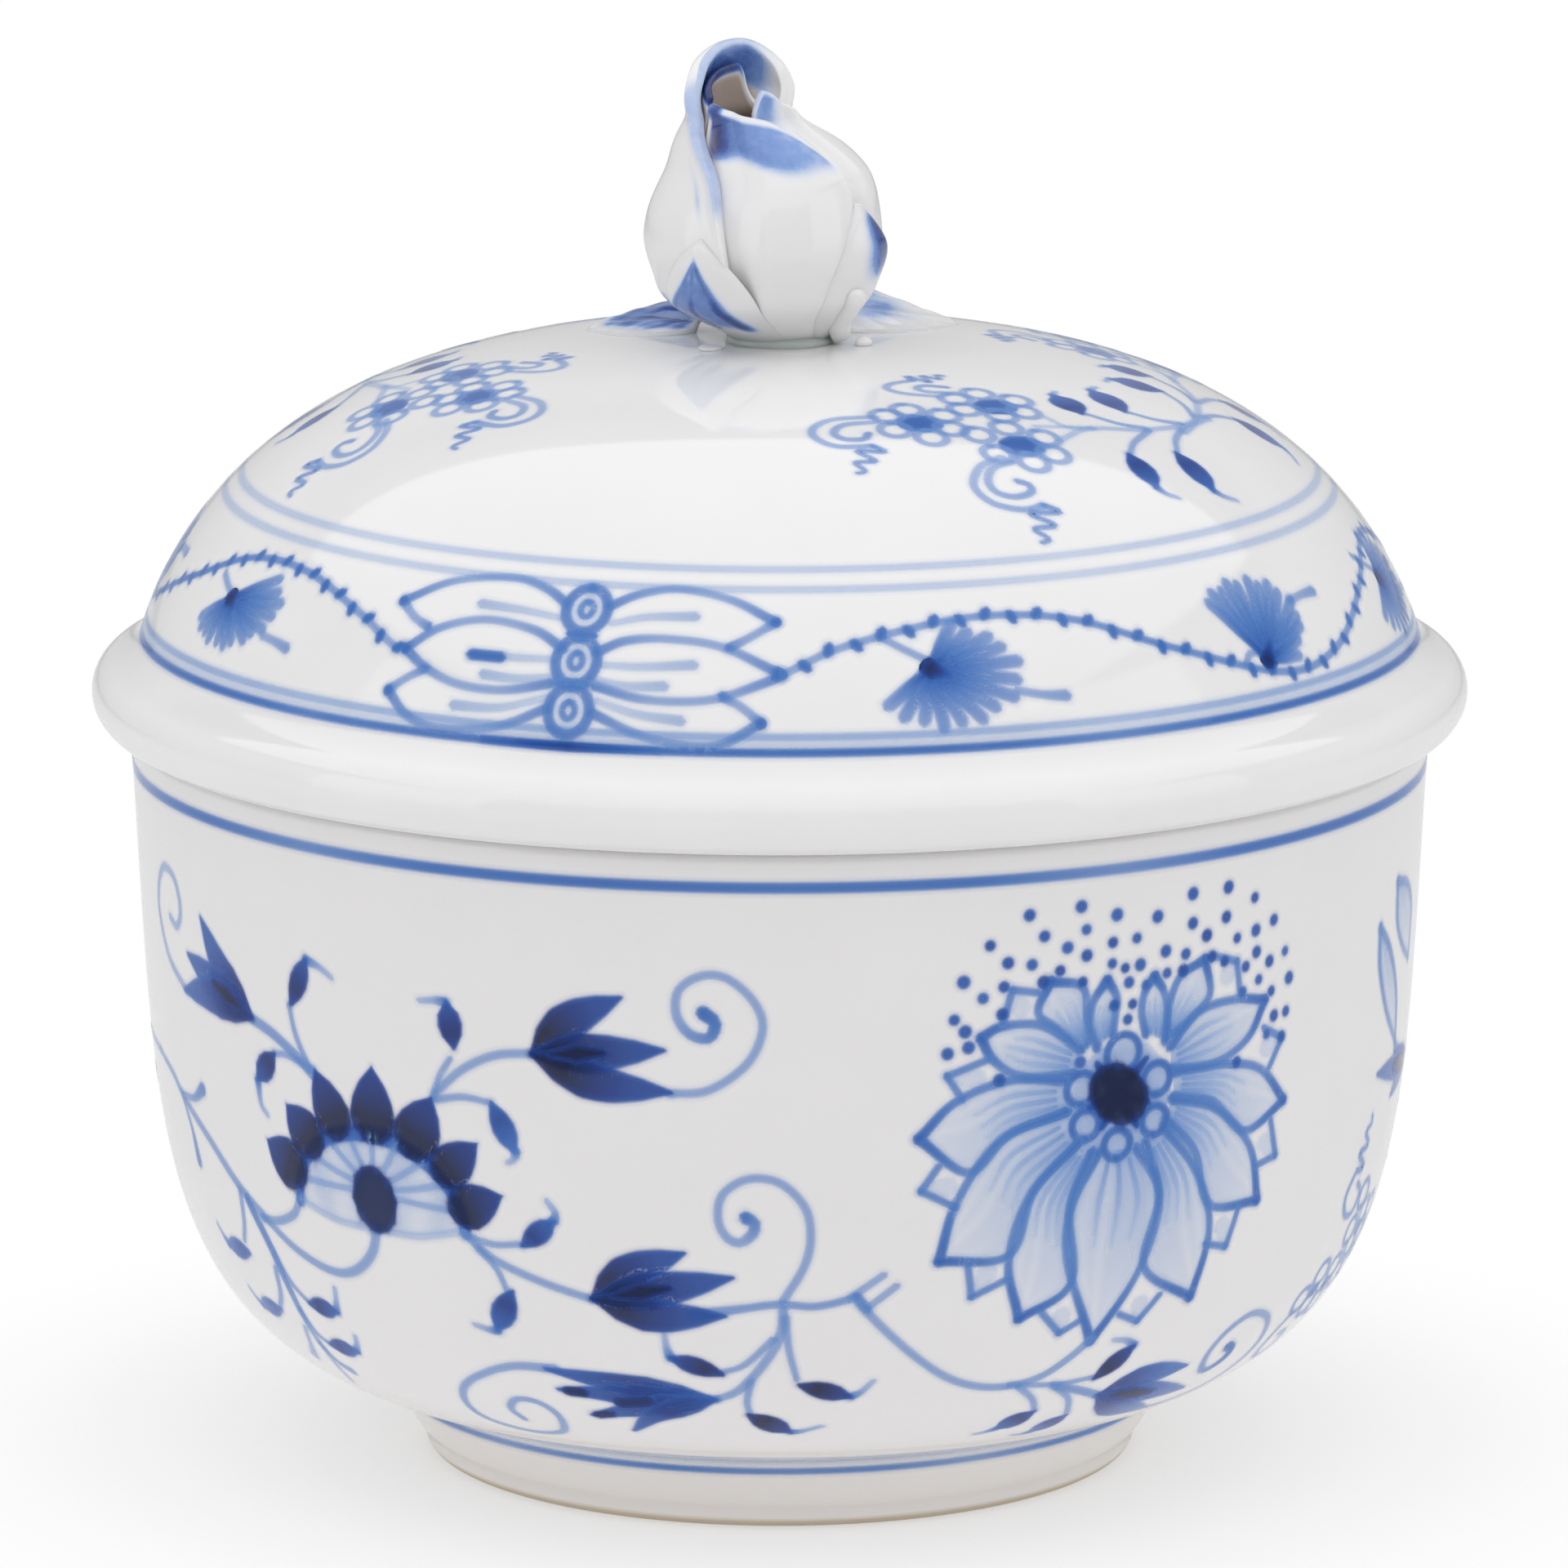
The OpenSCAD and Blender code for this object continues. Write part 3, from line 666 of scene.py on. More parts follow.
def leaf(name, azimuth, length, root_lift, curl, side_up, wash, *nodes):
    """A leaf on the dome: a closed loop runs across its face and back underneath, its outline is a
    sine to the power 0.8, its sides curl up with s^2, and its midrib is pressed in as a groove. The
    side that side_up names (1 or -1) is lifted to face the front, and the other one lies down."""
    v = np.linspace(0, 1, 90)[:, None]
    turn = np.linspace(0, 2 * np.pi, 110, endpoint=False)[None, :]
    s = -np.cos(turn)
    start = root_share * float(envelope(np.array(root_lift + leaf_t + 0.3))) + petal_gap + sepal_t
    along = start + length * v
    shape = 0.12 + 0.88 * np.sin(np.radians(180 * v ** 0.8 * 0.94)) ** 0.8
    across = s * leaf_w / 2 * shape * np.sqrt(np.clip(1 - smooth(0.93, 1.03, v) ** 2, 0, 1))
    aim = np.radians(azimuth)
    x = -bud_shift + along * np.cos(aim) - across * np.sin(aim)
    y = along * np.sin(aim) + across * np.cos(aim)
    lie = np.minimum(dome_height(np.hypot(x, y)), bud_z) + 2 * seam
    raised = smooth(-0.75, 1.0, s * side_up)
    rise = root_lift * (1 - v) ** 2 * smooth(-0.9, 0.2, s * side_up)
    rise = rise + curl * raised ** 1.6 * np.sin(np.pi * np.clip(v, 0.02, 1) ** 0.55) ** 0.8
    plump = 0.75 * leaf_t * (1 - 0.75 * s * s) * (1 - 0.6 * v * v) * np.abs(np.sin(turn)) ** 0.9
    upper = np.sin(turn) > 0
    groove = 0.22 * bump(0, 0.13, s) * smooth(0, 0.15, v) * smooth(1, 0.7, v)
    veins = 0.06 * np.sin(26 * v - 9 * np.abs(s)) * smooth(0.1, 0.4, np.abs(s)) * smooth(1, 0.6, np.abs(s))
    thin = plump * smooth(-1.3, 0.2, s * side_up)
    z = lie + rise + np.where(upper, thin - groove + veins * np.abs(np.sin(turn)),
                              -0.1 * smooth(0, -0.6, s * side_up))
    mottle = 0.5 + 0.5 * np.sin(9 * v + 5 * s) * np.sin(14 * s - 6 * v + 1)
    ink = wash(s, v) * (0.6 + 0.55 * mottle)
    # Blue here is pooled glaze together with painted shade along the midrib groove
    amounts = np.stack([np.where(upper, ink, 0), 0 * z, 0.2 * bump(0, 0.12, s) + 0 * z], axis=-1)
    return surface(name, np.stack([x, y, z], axis=-1), bud_glaze, "lid_body", "leaf_porcelain", *nodes,
                   paint=amounts, caps=True)


leaf("leaf_left_porcelain", 145, 0.82 * leaf_l, 0, 1.9, -1,
     lambda s, v: 0.7 * smooth(0.8, 0.1, s) * smooth(0.0, 0.1, v) * smooth(1.0, 0.7, v), "leaf_left")
leaf("leaf_right_porcelain", 38, leaf_l, 1.2, 2.6, 1,
     lambda s, v: 0.42 * smooth(-0.7, 0.0, s) * smooth(0.0, 0.1, v) * smooth(0.85, 0.35, v), "leaf_right")


# ---- Slip beads ----
# Where the bud, the stem and the leaves are stuck down, a little slip is squeezed out and left as
# small rounded beads and a low fillet round the foot, all glazed over.
def bead(name, x, y, width, tall, lean):
    """A drop of slip: a ball flattened to its height, fuller below its middle and pushed over by lean."""
    up = np.linspace(-np.pi / 2, np.pi / 2, 26)[1:-1, None]
    turn = np.linspace(0, 2 * np.pi, 36, endpoint=False)[None, :]
    r = width / 2 * np.cos(up) * (1 - 0.15 * np.sin(up)) * (1 + 0.06 * np.cos(3 * turn + lean))
    z = tall / 2 * (1 + np.sin(up)) + 0 * turn
    ground = np.minimum(dome_height(np.hypot(x, y)), bud_z) - 0.15
    points = np.stack([x + r * np.cos(turn) + 0.2 * lean * z, y + r * np.sin(turn), ground + z], axis=-1)
    return surface(name, points, bud_glaze, "lid_body", "leaf_porcelain", caps=True)


bead("slip_bead_left", -5.6, -4.6, 1.9, 0.6, -0.3)
bead("slip_bead_stem", 6.7, -2.6, 1.4, 0.9, 0.3)

fillet_turn = np.linspace(0, 2 * np.pi, 200, endpoint=False)[:, None]
fillet_loop = np.linspace(0, 2 * np.pi, 20, endpoint=False)[None, :]
fillet_r = 0.74 * bud_foot_r + 0.45 + 0.12 * np.sin(5 * fillet_turn + 1) + 0.7 * np.cos(fillet_loop)
fillet_z = 0.25 + (0.55 + 0.08 * np.sin(3 * fillet_turn)) * np.sin(fillet_loop)
fillet_points = np.stack([1.75 - bud_shift + fillet_r * np.cos(fillet_turn), fillet_r * np.sin(fillet_turn),
                          bud_z + fillet_z], axis=-1)
fillet_points = np.concatenate([fillet_points, fillet_points[:1]])
# The fillet is grey-green all over: pooled glaze together with painted shade round the bud's foot
fillet_pool_and_shade = np.stack([0 * fillet_points[..., 0], 0 * fillet_points[..., 0],
                         0.9 + 0 * fillet_points[..., 0]], axis=-1)
surface("slip_fillet", fillet_points, bud_glaze, "lid_body", "leaf_porcelain", paint=fillet_pool_and_shade)


# ---- Cobalt painting on the bowl ----
# Cobalt oxide is brushed onto the fired clay and glazed over, so that it lies inside the glaze. Each
# stroke of the brush is its own soft-edged ribbon; the border of flowers and vines runs round twice.
ink_halo = 0.5                      # mm that the colour bleeds past a stroke's edge
ink_deep = 0.5                      # mm inside the edge at which the distance stops counting
ink_spread = 0.05                   # mm that the wet ink runs beyond the brush
ink_lift, layer_lift = 0.022, 0.006 # mm that the first layer lies over the glaze, and each next one more


def underglaze_cobalt(name):
    """Painted cobalt under a clear glaze, read from the map OFBake: across it is the distance inside
    the stroke's edge and up it is the ink's density, from a pale wash to near black. The edge is
    soft over half a millimetre, and a faint bloom lies outside it."""
    material = bpy.data.materials.new(name)
    material.use_nodes = True
    tree = material.node_tree
    tree.nodes.clear()
    flat = add_node(tree, "SeparateXYZ", {0: add_node(tree, "UVMap", uv_map="OFBake").outputs[0]})
    inside = add_node(tree, "MapRange", {"Value": flat.outputs["X"]}, To_Min=-ink_halo, To_Max=ink_deep)
    density = flat.outputs["Y"]
    edge = add_node(tree, "MapRange", {"Value": inside.outputs[0]}, interpolation_type="SMOOTHERSTEP",
                    From_Min=-0.32, From_Max=0.24)
    bloom = add_node(tree, "MapRange", {"Value": inside.outputs[0]}, interpolation_type="SMOOTHSTEP",
                     From_Min=-ink_halo, From_Max=-0.05, To_Max=0.2)
    body = add_node(tree, "MapRange", {"Value": density}, From_Min=0.0, From_Max=0.55, To_Min=0.10,
                    To_Max=0.97)
    solid = add_node(tree, "Math", {0: edge.outputs[0], 1: body.outputs[0]}, operation="MULTIPLY")
    haze = add_node(tree, "Math", {0: bloom.outputs[0], 1: body.outputs[0]}, operation="MULTIPLY")
    cover = add_node(tree, "Math", {0: solid.outputs[0], 1: haze.outputs[0]}, operation="MAXIMUM")
    fullness = add_node(tree, "MapRange", {"Value": inside.outputs[0]}, From_Min=-0.1, From_Max=0.4,
                        To_Min=0.80, To_Max=1.0)
    depth = add_node(tree, "Math", {0: density, 1: fullness.outputs[0]}, operation="MULTIPLY")
    ink = ramp(tree, depth.outputs[0], [
        (0.0, "#a6bee2"), (0.25, "#7fa1d3"), (0.45, "#5380c2"), (0.65, "#2c5cab"), (0.82, "#143783"),
        (1.0, "#060f2a")])
    glaze = add_node(tree, "BsdfPrincipled", {"Base_Color": ink, "Alpha": cover.outputs[0]},
                     Roughness=0.07, IOR=1.52, Specular_IOR_Level=0.2)
    add_node(tree, "OutputMaterial", {"Surface": glaze.outputs[0]})
    return material


def spline(points, step):
    """A smooth line through given points, walked in equal steps: a Catmull-Rom curve, whose
    direction at each point is half the way from its neighbour before to its neighbour after."""
    p = np.array(points, float)
    ends = np.concatenate([[2 * p[0] - p[1]], p, [2 * p[-1] - p[-2]]])
    a, b, c, d = ends[:-3], ends[1:-2], ends[2:-1], ends[3:]
    t = np.linspace(0, 1, 17)[:-1, None, None]
    curve = (2 * b + (c - a) * t + (2 * a - 5 * b + 4 * c - d) * t ** 2
             + (3 * b - a - 3 * c + d) * t ** 3) / 2
    curve = np.concatenate([curve.transpose(1, 0, 2).reshape(-1, 2), p[-1:]])
    walked = np.concatenate([[0], np.cumsum(np.linalg.norm(np.diff(curve, axis=0), axis=1))])
    even = np.linspace(0, walked[-1], max(4, int(walked[-1] / step) + 2))
    return np.stack([np.interp(even, walked, curve[:, 0]), np.interp(even, walked, curve[:, 1])], axis=-1)


class PaintedFace:
    """A thrown face unrolled flat, and the strokes laid on it. A point is (s, q): s is millimetres
    round from the front, to the right, at the radius around; q is millimetres along the outline."""

    def __init__(self, outline, zero, around, side):
        self.outline, self.around = outline, around
        steps = np.linalg.norm(np.diff(outline, axis=0), axis=1)
        self.along = np.concatenate([[0], np.cumsum(steps)]) - zero
        self.normals = side * left_normals(outline)
        self.patches = []
        self.shift, self.mirror = 0.0, 1.0

    def across_outline(self, q, values):
        return np.interp(q, self.along, values)

    def stretch(self, q):
        return self.across_outline(q, self.outline[:, 0]) / self.around

    def lay(self, grid, inside, tone, layer):
        """Keeps one patch: its flat grid is moved to this repeat, then wrapped onto the face at a
        lift of some hundredths of a millimetre, a little more for each layer."""
        grid = grid * [self.mirror, 1] + [self.shift, 0]
        s, q = grid[..., 0], grid[..., 1]
        turn = s / self.around
        r = self.across_outline(q, self.outline[:, 0])
        z = self.across_outline(q, self.outline[:, 1])
        out = self.across_outline(q, self.normals[:, 0])
        up = self.across_outline(q, self.normals[:, 1])
        lift = ink_lift + layer_lift * layer + 0.0004 * (len(self.patches) % 12)
        normal = np.stack([out * np.sin(turn), -out * np.cos(turn), up], axis=-1)
        place = np.stack([r * np.sin(turn), -r * np.cos(turn), z], axis=-1) + lift * normal
        u = (np.clip(inside, -ink_halo, ink_deep) + ink_halo) / (ink_halo + ink_deep)
        v = np.clip(tone + 0 * inside, 0.02, 0.98)
        self.patches.append((place, normal, np.stack([np.clip(u, 0.005, 0.995), v], axis=-1)))

    def stroke(self, points, width=0.5, tone=0.45, layer=1, step=0.45):
        """One brush stroke along points. Width and tone are numbers, or lists spread evenly along it,
        and the wet ink spreads a little beyond the brush. Inside is half the width less the distance
        from its middle line, so that its ends are round."""
        path = spline(points, step)
        share = np.linspace(0, 1, len(path))
        width, tone = np.atleast_1d(width), np.atleast_1d(tone)
        half = np.interp(share, np.linspace(0, 1, len(width)), width) / 2 + ink_spread
        tone = np.interp(share, np.linspace(0, 1, len(tone)), tone)
        scale = np.stack([self.stretch(path[:, 1]), np.ones(len(path))], axis=-1)
        way = np.gradient(path, axis=0) * scale
        way /= np.linalg.norm(way, axis=1, keepdims=True)
        pad = np.array([1.0, 0.7, 0.4])
        before = (half[0] + ink_halo) * pad
        after = (half[-1] + ink_halo) * pad[::-1]
        path = np.concatenate([path[0] - way[0] / scale[0] * before[:, None], path,
                               path[-1] + way[-1] / scale[-1] * after[:, None]])
        past = np.concatenate([before, 0 * half, after])[:, None]
        ends = len(pad)
        half, tone = (np.pad(x, ends, mode="edge")[:, None] for x in (half, tone))
        way, scale = (np.pad(x, ((ends, ends), (0, 0)), mode="edge") for x in (way, scale))
        across = np.linspace(-1, 1, 5 if half.max() < 0.6 else 7) * (half + ink_halo)
        side = np.stack([-way[:, 1], way[:, 0]], axis=-1) / scale
        grid = path[:, None] + side[:, None] * across[..., None]
        self.lay(grid, half - np.hypot(across, past), tone, layer)

    def wash(self, first, second, tone, layer=0):
        """A wash between two edges that both run from the foot to the tip. Tone takes the share along
        and the share across. Inside is the distance to the nearer edge."""
        count = 4 + int(np.linalg.norm(np.diff(np.array(first, float), axis=0), axis=1).sum() / 0.8)
        edges = []
        for points in (first, second):
            path = spline(points, 0.3)
            share = np.linspace(0, len(path) - 1, count)
            edges.append(np.stack([np.interp(share, np.arange(len(path)), path[:, k]) for k in (0, 1)],
                                  axis=-1))
        a, b = edges
        scale = np.stack([self.stretch((a + b)[:, 1] / 2), np.ones(count)], axis=-1)
        chord = (b - a) * scale
        gap = np.linalg.norm(chord, axis=1, keepdims=True) + 1e-3
        share = np.linspace(0, 1, 11)[None, :]
        across = share * (gap + 2 * ink_halo) - ink_halo
        grid = a[:, None] + (chord / gap / scale)[:, None] * across[..., None]
        along = np.linspace(0, 1, count)[:, None]
        past = np.minimum(along, 1 - along) * count * 0.8
        inside = np.minimum(np.minimum(across, gap - across), past * 0.6)
        self.lay(grid, inside, tone(along, share), layer)

    def dot(self, s, q, width, tone=0.6, layer=1):
        """A round dot, laid as rings from its middle out past its soft edge."""
        turn = np.linspace(0, 2 * np.pi, 13)[:, None]
        out = np.array([[0.02, 0.3 * width, width / 2, width / 2 + ink_halo]])
        grid = np.stack([s + out * np.sin(turn) / self.stretch(q), q + out * np.cos(turn)], axis=-1)
        self.lay(grid, width / 2 - out + 0 * turn, tone, layer)

    def ring(self, s, q, radius, width=0.42, tone=0.5, layer=1, tall=1.0, step=0.3):
        """A small circle, or an upright oval where tall is above 1, closed on itself."""
        turn = np.linspace(0, 2 * np.pi, 13)
        k = float(self.stretch(q))
        self.stroke([(s + radius * np.sin(a) / k, q + tall * radius * np.cos(a)) for a in turn],
                    width, tone, layer, step)

    def band(self, q, width, tone, layer=1):
        """A plain line turned right round on the wheel, with the brush's load varying a little."""
        full = np.pi * self.around
        level = [tone * (1 + 0.12 * np.sin(1.9 * i) * np.sin(0.7 * i + 1)) for i in range(24)]
        self.stroke([(s, q) for s in np.linspace(-full, full, 40)], width, level + level[:1], layer, 1.2)

    def finish(self, name, body, material):
        """Joins all the strokes into one piece with the face's own normals, so that its glaze shines
        as the face's does."""
        points, normals, flats, faces, start = [], [], [], [], 0
        for place, normal, flat in self.patches:
            rows, columns = place.shape[:2]
            corner = np.arange(rows * columns).reshape(rows, columns) + start
            quads = np.stack([corner[:-1, :-1], corner[:-1, 1:], corner[1:, 1:], corner[1:, :-1]], axis=-1)
            cross = np.cross(place[:-1, 1:] - place[:-1, :-1], place[1:, :-1] - place[:-1, :-1])
            if (cross * normal[:-1, :-1]).sum() < 0:
                quads = quads[..., ::-1]
            faces.append(quads.reshape(-1, 4))
            points.append(place.reshape(-1, 3))
            normals.append(normal.reshape(-1, 3))
            flats.append(flat.reshape(-1, 2))
            start += rows * columns
        points, normals, flats, faces = (np.concatenate(x) for x in (points, normals, flats, faces))
        mesh = bpy.data.meshes.new(name)
        mesh.from_pydata((points / 1000).tolist(), [], faces.tolist())
        uv = mesh.uv_layers.new(name="OFBake")
        uv.data.foreach_set("uv", flats[faces.ravel()].astype(np.float32).ravel())
        mesh.shade_smooth()
        mesh.normals_split_custom_set_from_vertices(normals.tolist())
        mesh.materials.append(material)
        piece = bpy.data.objects.new(name, mesh)
        piece.visible_shadow = False
        piece.visible_diffuse = False
        scene.collection.objects.link(piece)
        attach(piece, body)
        return piece


def bud(face, stem, blob, tail, width=2.0, tone=0.8):
    """A bud: a thin stalk, a fat almond of dense ink and a hair curling off its tip."""
    (s0, q0), (s1, q1) = blob
    middle = ((s0 + s1) / 2, (q0 + q1) / 2)
    face.stroke(stem, [0.6, 0.5, 0.45], 0.42)
    face.stroke([blob[0], middle, blob[1]], [0.5, 0.8 * width, width, 0.85 * width, 0.4],
                [tone, tone + 0.1, tone, tone - 0.1], 2)
    face.stroke([blob[1], *tail], [0.8, 0.5, 0.4], [0.55, 0.4, 0.34])


def lobed_leaf(face, foot, tips, width=2.7, tone=0.8):
    """A leaf of three pointed lobes: one full stroke from the foot to each tip, darkest in the middle."""
    width = 1.16 * width
    for tip, pull in zip(tips, (-0.5, 0.0, 0.5)):
        s0, q0 = foot
        s1, q1 = tip
        middle = ((s0 + s1) / 2 - pull * (q1 - q0) * 0.15, (q0 + q1) / 2 + pull * (s1 - s0) * 0.12)
        face.stroke([foot, middle, tip], [0.35, 0.75 * width, width, 0.85 * width, 0.55 * width, 0.3],
                    [tone + 0.1, tone + 0.12, tone, tone - 0.1, tone - 0.12], 2)
    core = [((1 - t) * foot[0] + t * tips[1][0], (1 - t) * foot[1] + t * tips[1][1])
            for t in (0.15, 0.35, 0.55)]
    face.stroke(core, [0.5, 1.5, 0.6], 0.97, 3)


def wriggle(face, start, end, swing):
    """The end of a tendril: a wave of two and a half swings that shrink towards its tip."""
    share = np.linspace(0, 1, 29)[:, None]
    way = np.subtract(end, start)
    side = np.array([-way[1], way[0]]) / np.hypot(*way)
    line = start + way * share + side * swing * (1 - 0.7 * share) * np.sin(5 * np.pi * share)
    face.stroke(line.tolist(), [0.55, 0.5, 0.45, 0.35], 0.46, 1, 0.22)


vine_ink = dict(width=0.62, tone=0.42)


def aster_spray(face):
    """The half aster at the left: a dark eye, a ribbed half-moon, seven dark rays, and its leaves,
    buds and tendrils."""
    for foot, left, tip in (((-45, 31.6), (-43, 28.3), (-47.9, 27.9)),
                            ((-43.2, 28.4), (-40.2, 26.2), (-44.8, 24.4)),
                            ((-40.3, 26.3), (-36.9, 25.3), (-41, 20.9)),
                            ((-37, 25.4), (-33, 25.4), (-34.7, 19.7)),
                            ((-33.1, 25.4), (-29.4, 26.6), (-28.9, 21.4)),
                            ((-29.6, 26.6), (-27.6, 29.2), (-24.9, 24.7)),
                            ((-27.8, 29), (-26.7, 32.2), (-22.9, 28.8))):
        middle = ((foot[0] + left[0]) / 2, (foot[1] + left[1]) / 2)
        half = np.hypot(left[0] - foot[0], left[1] - foot[1])
        path = [((1 - t) * middle[0] + t * tip[0], (1 - t) * middle[1] + t * tip[1])
                for t in (0.28, 0.6, 1.0)]
        face.stroke(path, [1.15 * half, 1.0 * half, 0.65 * half, 0.15], [0.97, 0.9, 0.84, 0.78], 2)
    moon = [(-35.4 + 8.9 * np.cos(a), 32.4 - 7.1 * np.sin(a)) for a in np.linspace(np.pi, 0, 17)]
    base = [(-44.2, 32.2), (-40, 33.2), (-35.4, 33.3), (-31, 33.2), (-26.6, 32.2)]
    face.wash(moon, base, lambda along, across: 0.24 - 0.1 * across + 0.05 * np.cos(30 * along))
    face.stroke(moon, [0.9, 1.4, 0.9], 0.62, 1)
    face.stroke(base, 0.6, 0.26)
    for a in np.radians([14, 33, 52, 71, 88, 105, 122, 142, 163]):
        face.stroke([(-35.4 + 8.4 * np.cos(a), 32.2 - 6.7 * np.sin(a)),
                     (-35.4 + 5.2 * np.cos(a), 31.5 - 4.2 * np.sin(a)),
                     (-35.4 + 2.2 * np.cos(a), 30.8 - 2.0 * np.sin(a))], [0.55, 0.45], 0.36)
    face.stroke([(-35.45, 30.0), (-35.4, 30.8), (-35.35, 31.5)], [4.2, 4.7, 4.2], 0.95, 3)
    lobed_leaf(face, (-48.7, 18), ((-56.3, 11.2), (-59.3, 14.8), (-60.5, 18)), 2.9, 0.78)
    face.stroke([(-60, 18), (-64, 16), (-66, 13), (-66, 11), (-65, 9.3), (-63.5, 8.5), (-61.5, 9),
                 (-60.5, 10.5), (-60.5, 12), (-61.5, 13), (-63, 12.5)], 0.62, 0.36)
    face.stroke([(-49, 18), (-46, 18.8), (-43, 20.2), (-41, 21.5)], 0.85, 0.45)
    bud(face, [(-41.5, 21), (-43, 18.5), (-43.7, 16)], [(-43.4, 15.9), (-41.4, 12)],
        [(-40, 12.3), (-38.5, 13)])
    bud(face, [(-41, 21), (-44, 20.3), (-46, 20.4)], [(-46, 20.5), (-48.5, 23)],
        [(-48.3, 25), (-47.5, 25.8)], 2.2)
    bud(face, [(-28.8, 21.5), (-28, 19.5), (-27, 18)], [(-26.6, 17), (-27.2, 13.5)],
        [(-28, 13.4), (-29.7, 13.6)], 2.2)
    bud(face, [(-28.5, 21.5), (-26, 21), (-23.5, 21.2)], [(-23.4, 21.3), (-21.5, 25)],
        [(-21.6, 25.6), (-22.2, 26)], 2.0, 0.65)
    bud(face, [(-26.5, 32.5), (-24, 33), (-21.5, 32.7)], [(-21.3, 32.8), (-18.5, 30.5)],
        [(-18.3, 29.8), (-19, 28.8)], 1.9, 0.72)
    bud(face, [(-25.5, 33.5), (-24, 35), (-23.2, 37)], [(-22.8, 37), (-24.8, 40.7)],
        [(-25.5, 40.8), (-27, 40.5)], 2.2, 0.72)
    face.stroke([(-28.5, 21), (-26, 18.8), (-23, 17.3), (-19.6, 16.8)], **vine_ink)
    lobed_leaf(face, (-19.8, 16.9), ((-12.4, 11.8), (-9, 15.9), (-8.5, 19.3)), 2.8, 0.86)
    face.stroke([(-8.6, 19.4), (-5.5, 19), (-2.5, 16.8), (-1.3, 14), (-2, 11.8), (-4, 10), (-6, 9.8),
                 (-7.8, 11),
                 (-8, 13), (-7, 14.5), (-5.5, 14.8), (-5, 13.6), (-5.9, 12.8)], [0.6] * 8 + [0.7, 0.8, 1.1],
                [0.42] * 8 + [0.5, 0.6])
    face.stroke([(-26.8, 32.3), (-24, 34.3), (-20, 35.8), (-15.5, 37)], **vine_ink)


def main_vine(face):
    """The vine from the aster to the big flower, with its two lobed leaves, its scrolls and buds."""
    lobed_leaf(face, (-15.6, 36.9), ((-7.7, 32.5), (-3.8, 34.5), (-4.5, 37.9)), 2.8, 0.84)
    face.stroke([(-7, 37.9), (-3, 37.2), (0, 36.8), (3, 37), (6.3, 36.3)], [1.0, 0.62, 0.6, 0.6], 0.45)
    face.stroke([(0.3, 36.5), (2, 33.5), (2.5, 31), (2, 28.5), (0, 26.5), (-2.5, 26.2), (-4.5, 27.5),
                 (-4.9, 29.5),
                 (-4.3, 31), (-3.2, 31.5), (-2.2, 30.8), (-2, 29.9), (-2.7, 29.4)], [0.6] * 9 + [0.75, 1.0],
                [0.42] * 9 + [0.55])
    face.stroke([(5.8, 36.3), (8.5, 34.4)], 0.55, 0.4)
    face.stroke([(7.2, 37.3), (9.6, 35.4)], 0.55, 0.4)
    face.stroke([(6.3, 36.2), (7.3, 37.4)], 0.7, 0.5)
    face.stroke([(6.5, 36.8), (9, 39.5), (12, 42.3), (15, 44.5), (18, 45.7), (21, 46), (24, 45.3),
                 (26.5, 43.5), (28, 42)], [0.65, 0.6, 0.75, 0.65], 0.42)
    face.stroke([(0.3, 37.2), (0.2, 39), (-0.5, 41), (-2.5, 44), (-4, 45.5), (-5.8, 46.3)], 0.7, 0.42)
    bud(face, [(-0.5, 40), (-3, 42.5), (-5, 43.3)], [(-5, 43.5), (-9.3, 42)], [(-9.6, 41), (-9.7, 39.5)],
        1.8, 0.84)
    bud(face, [(-2.5, 44.2), (-2.9, 46.5), (-2.7, 48)], [(-2.8, 48.2), (1, 50.7)], [(2, 50.6), (4, 49.8)],
        2.2, 0.88)
    bud(face, [(0.5, 38), (0.8, 41), (1.5, 44)], [(1.8, 44.6), (6.3, 46)], [(7.2, 45.5), (8.2, 44.3)],
        1.9, 0.88)
    for tip, width in (((-21, 44.1), 2.6), ((-20.3, 46.3), 2.8), ((-17.8, 49.3), 2.6),
                       ((-14.2, 51.3), 2.4)):
        middle = (-11.5 + 0.12 * (tip[0] + 17), 46.3 + 0.42 * (tip[1] - 46.3))
        face.stroke([(-5.8, 46.3), middle, tip], [0.4, 0.8 * width, width, 0.8 * width, 0.5 * width, 0.35],
                    [0.7, 0.78, 0.82, 0.72, 0.66], 2)
    face.stroke([(-18, 46.4), (-19.3, 46.4)], 1.1, 0.95, 3)
    face.stroke([(-16, 48.9), (-17.2, 49.2)], 1.0, 0.95, 3)
    face.stroke([(-12, 46.9), (-14.5, 47.3)], 1.3, 0.92, 3)
    face.stroke([(-20, 44), (-24, 44.2), (-27.5, 45.5), (-30.5, 47.5), (-31.7, 50), (-31, 52.2),
                 (-28.5, 53.5),
                 (-25.5, 53.9), (-22.5, 53), (-21.5, 51), (-21.8, 49.3), (-23.3, 48.2), (-25.3, 48.3),
                 (-26.5, 49.8), (-25.8, 51.3)], [0.9, 0.65, 0.6, 0.6, 0.6, 0.6, 0.6], 0.42)


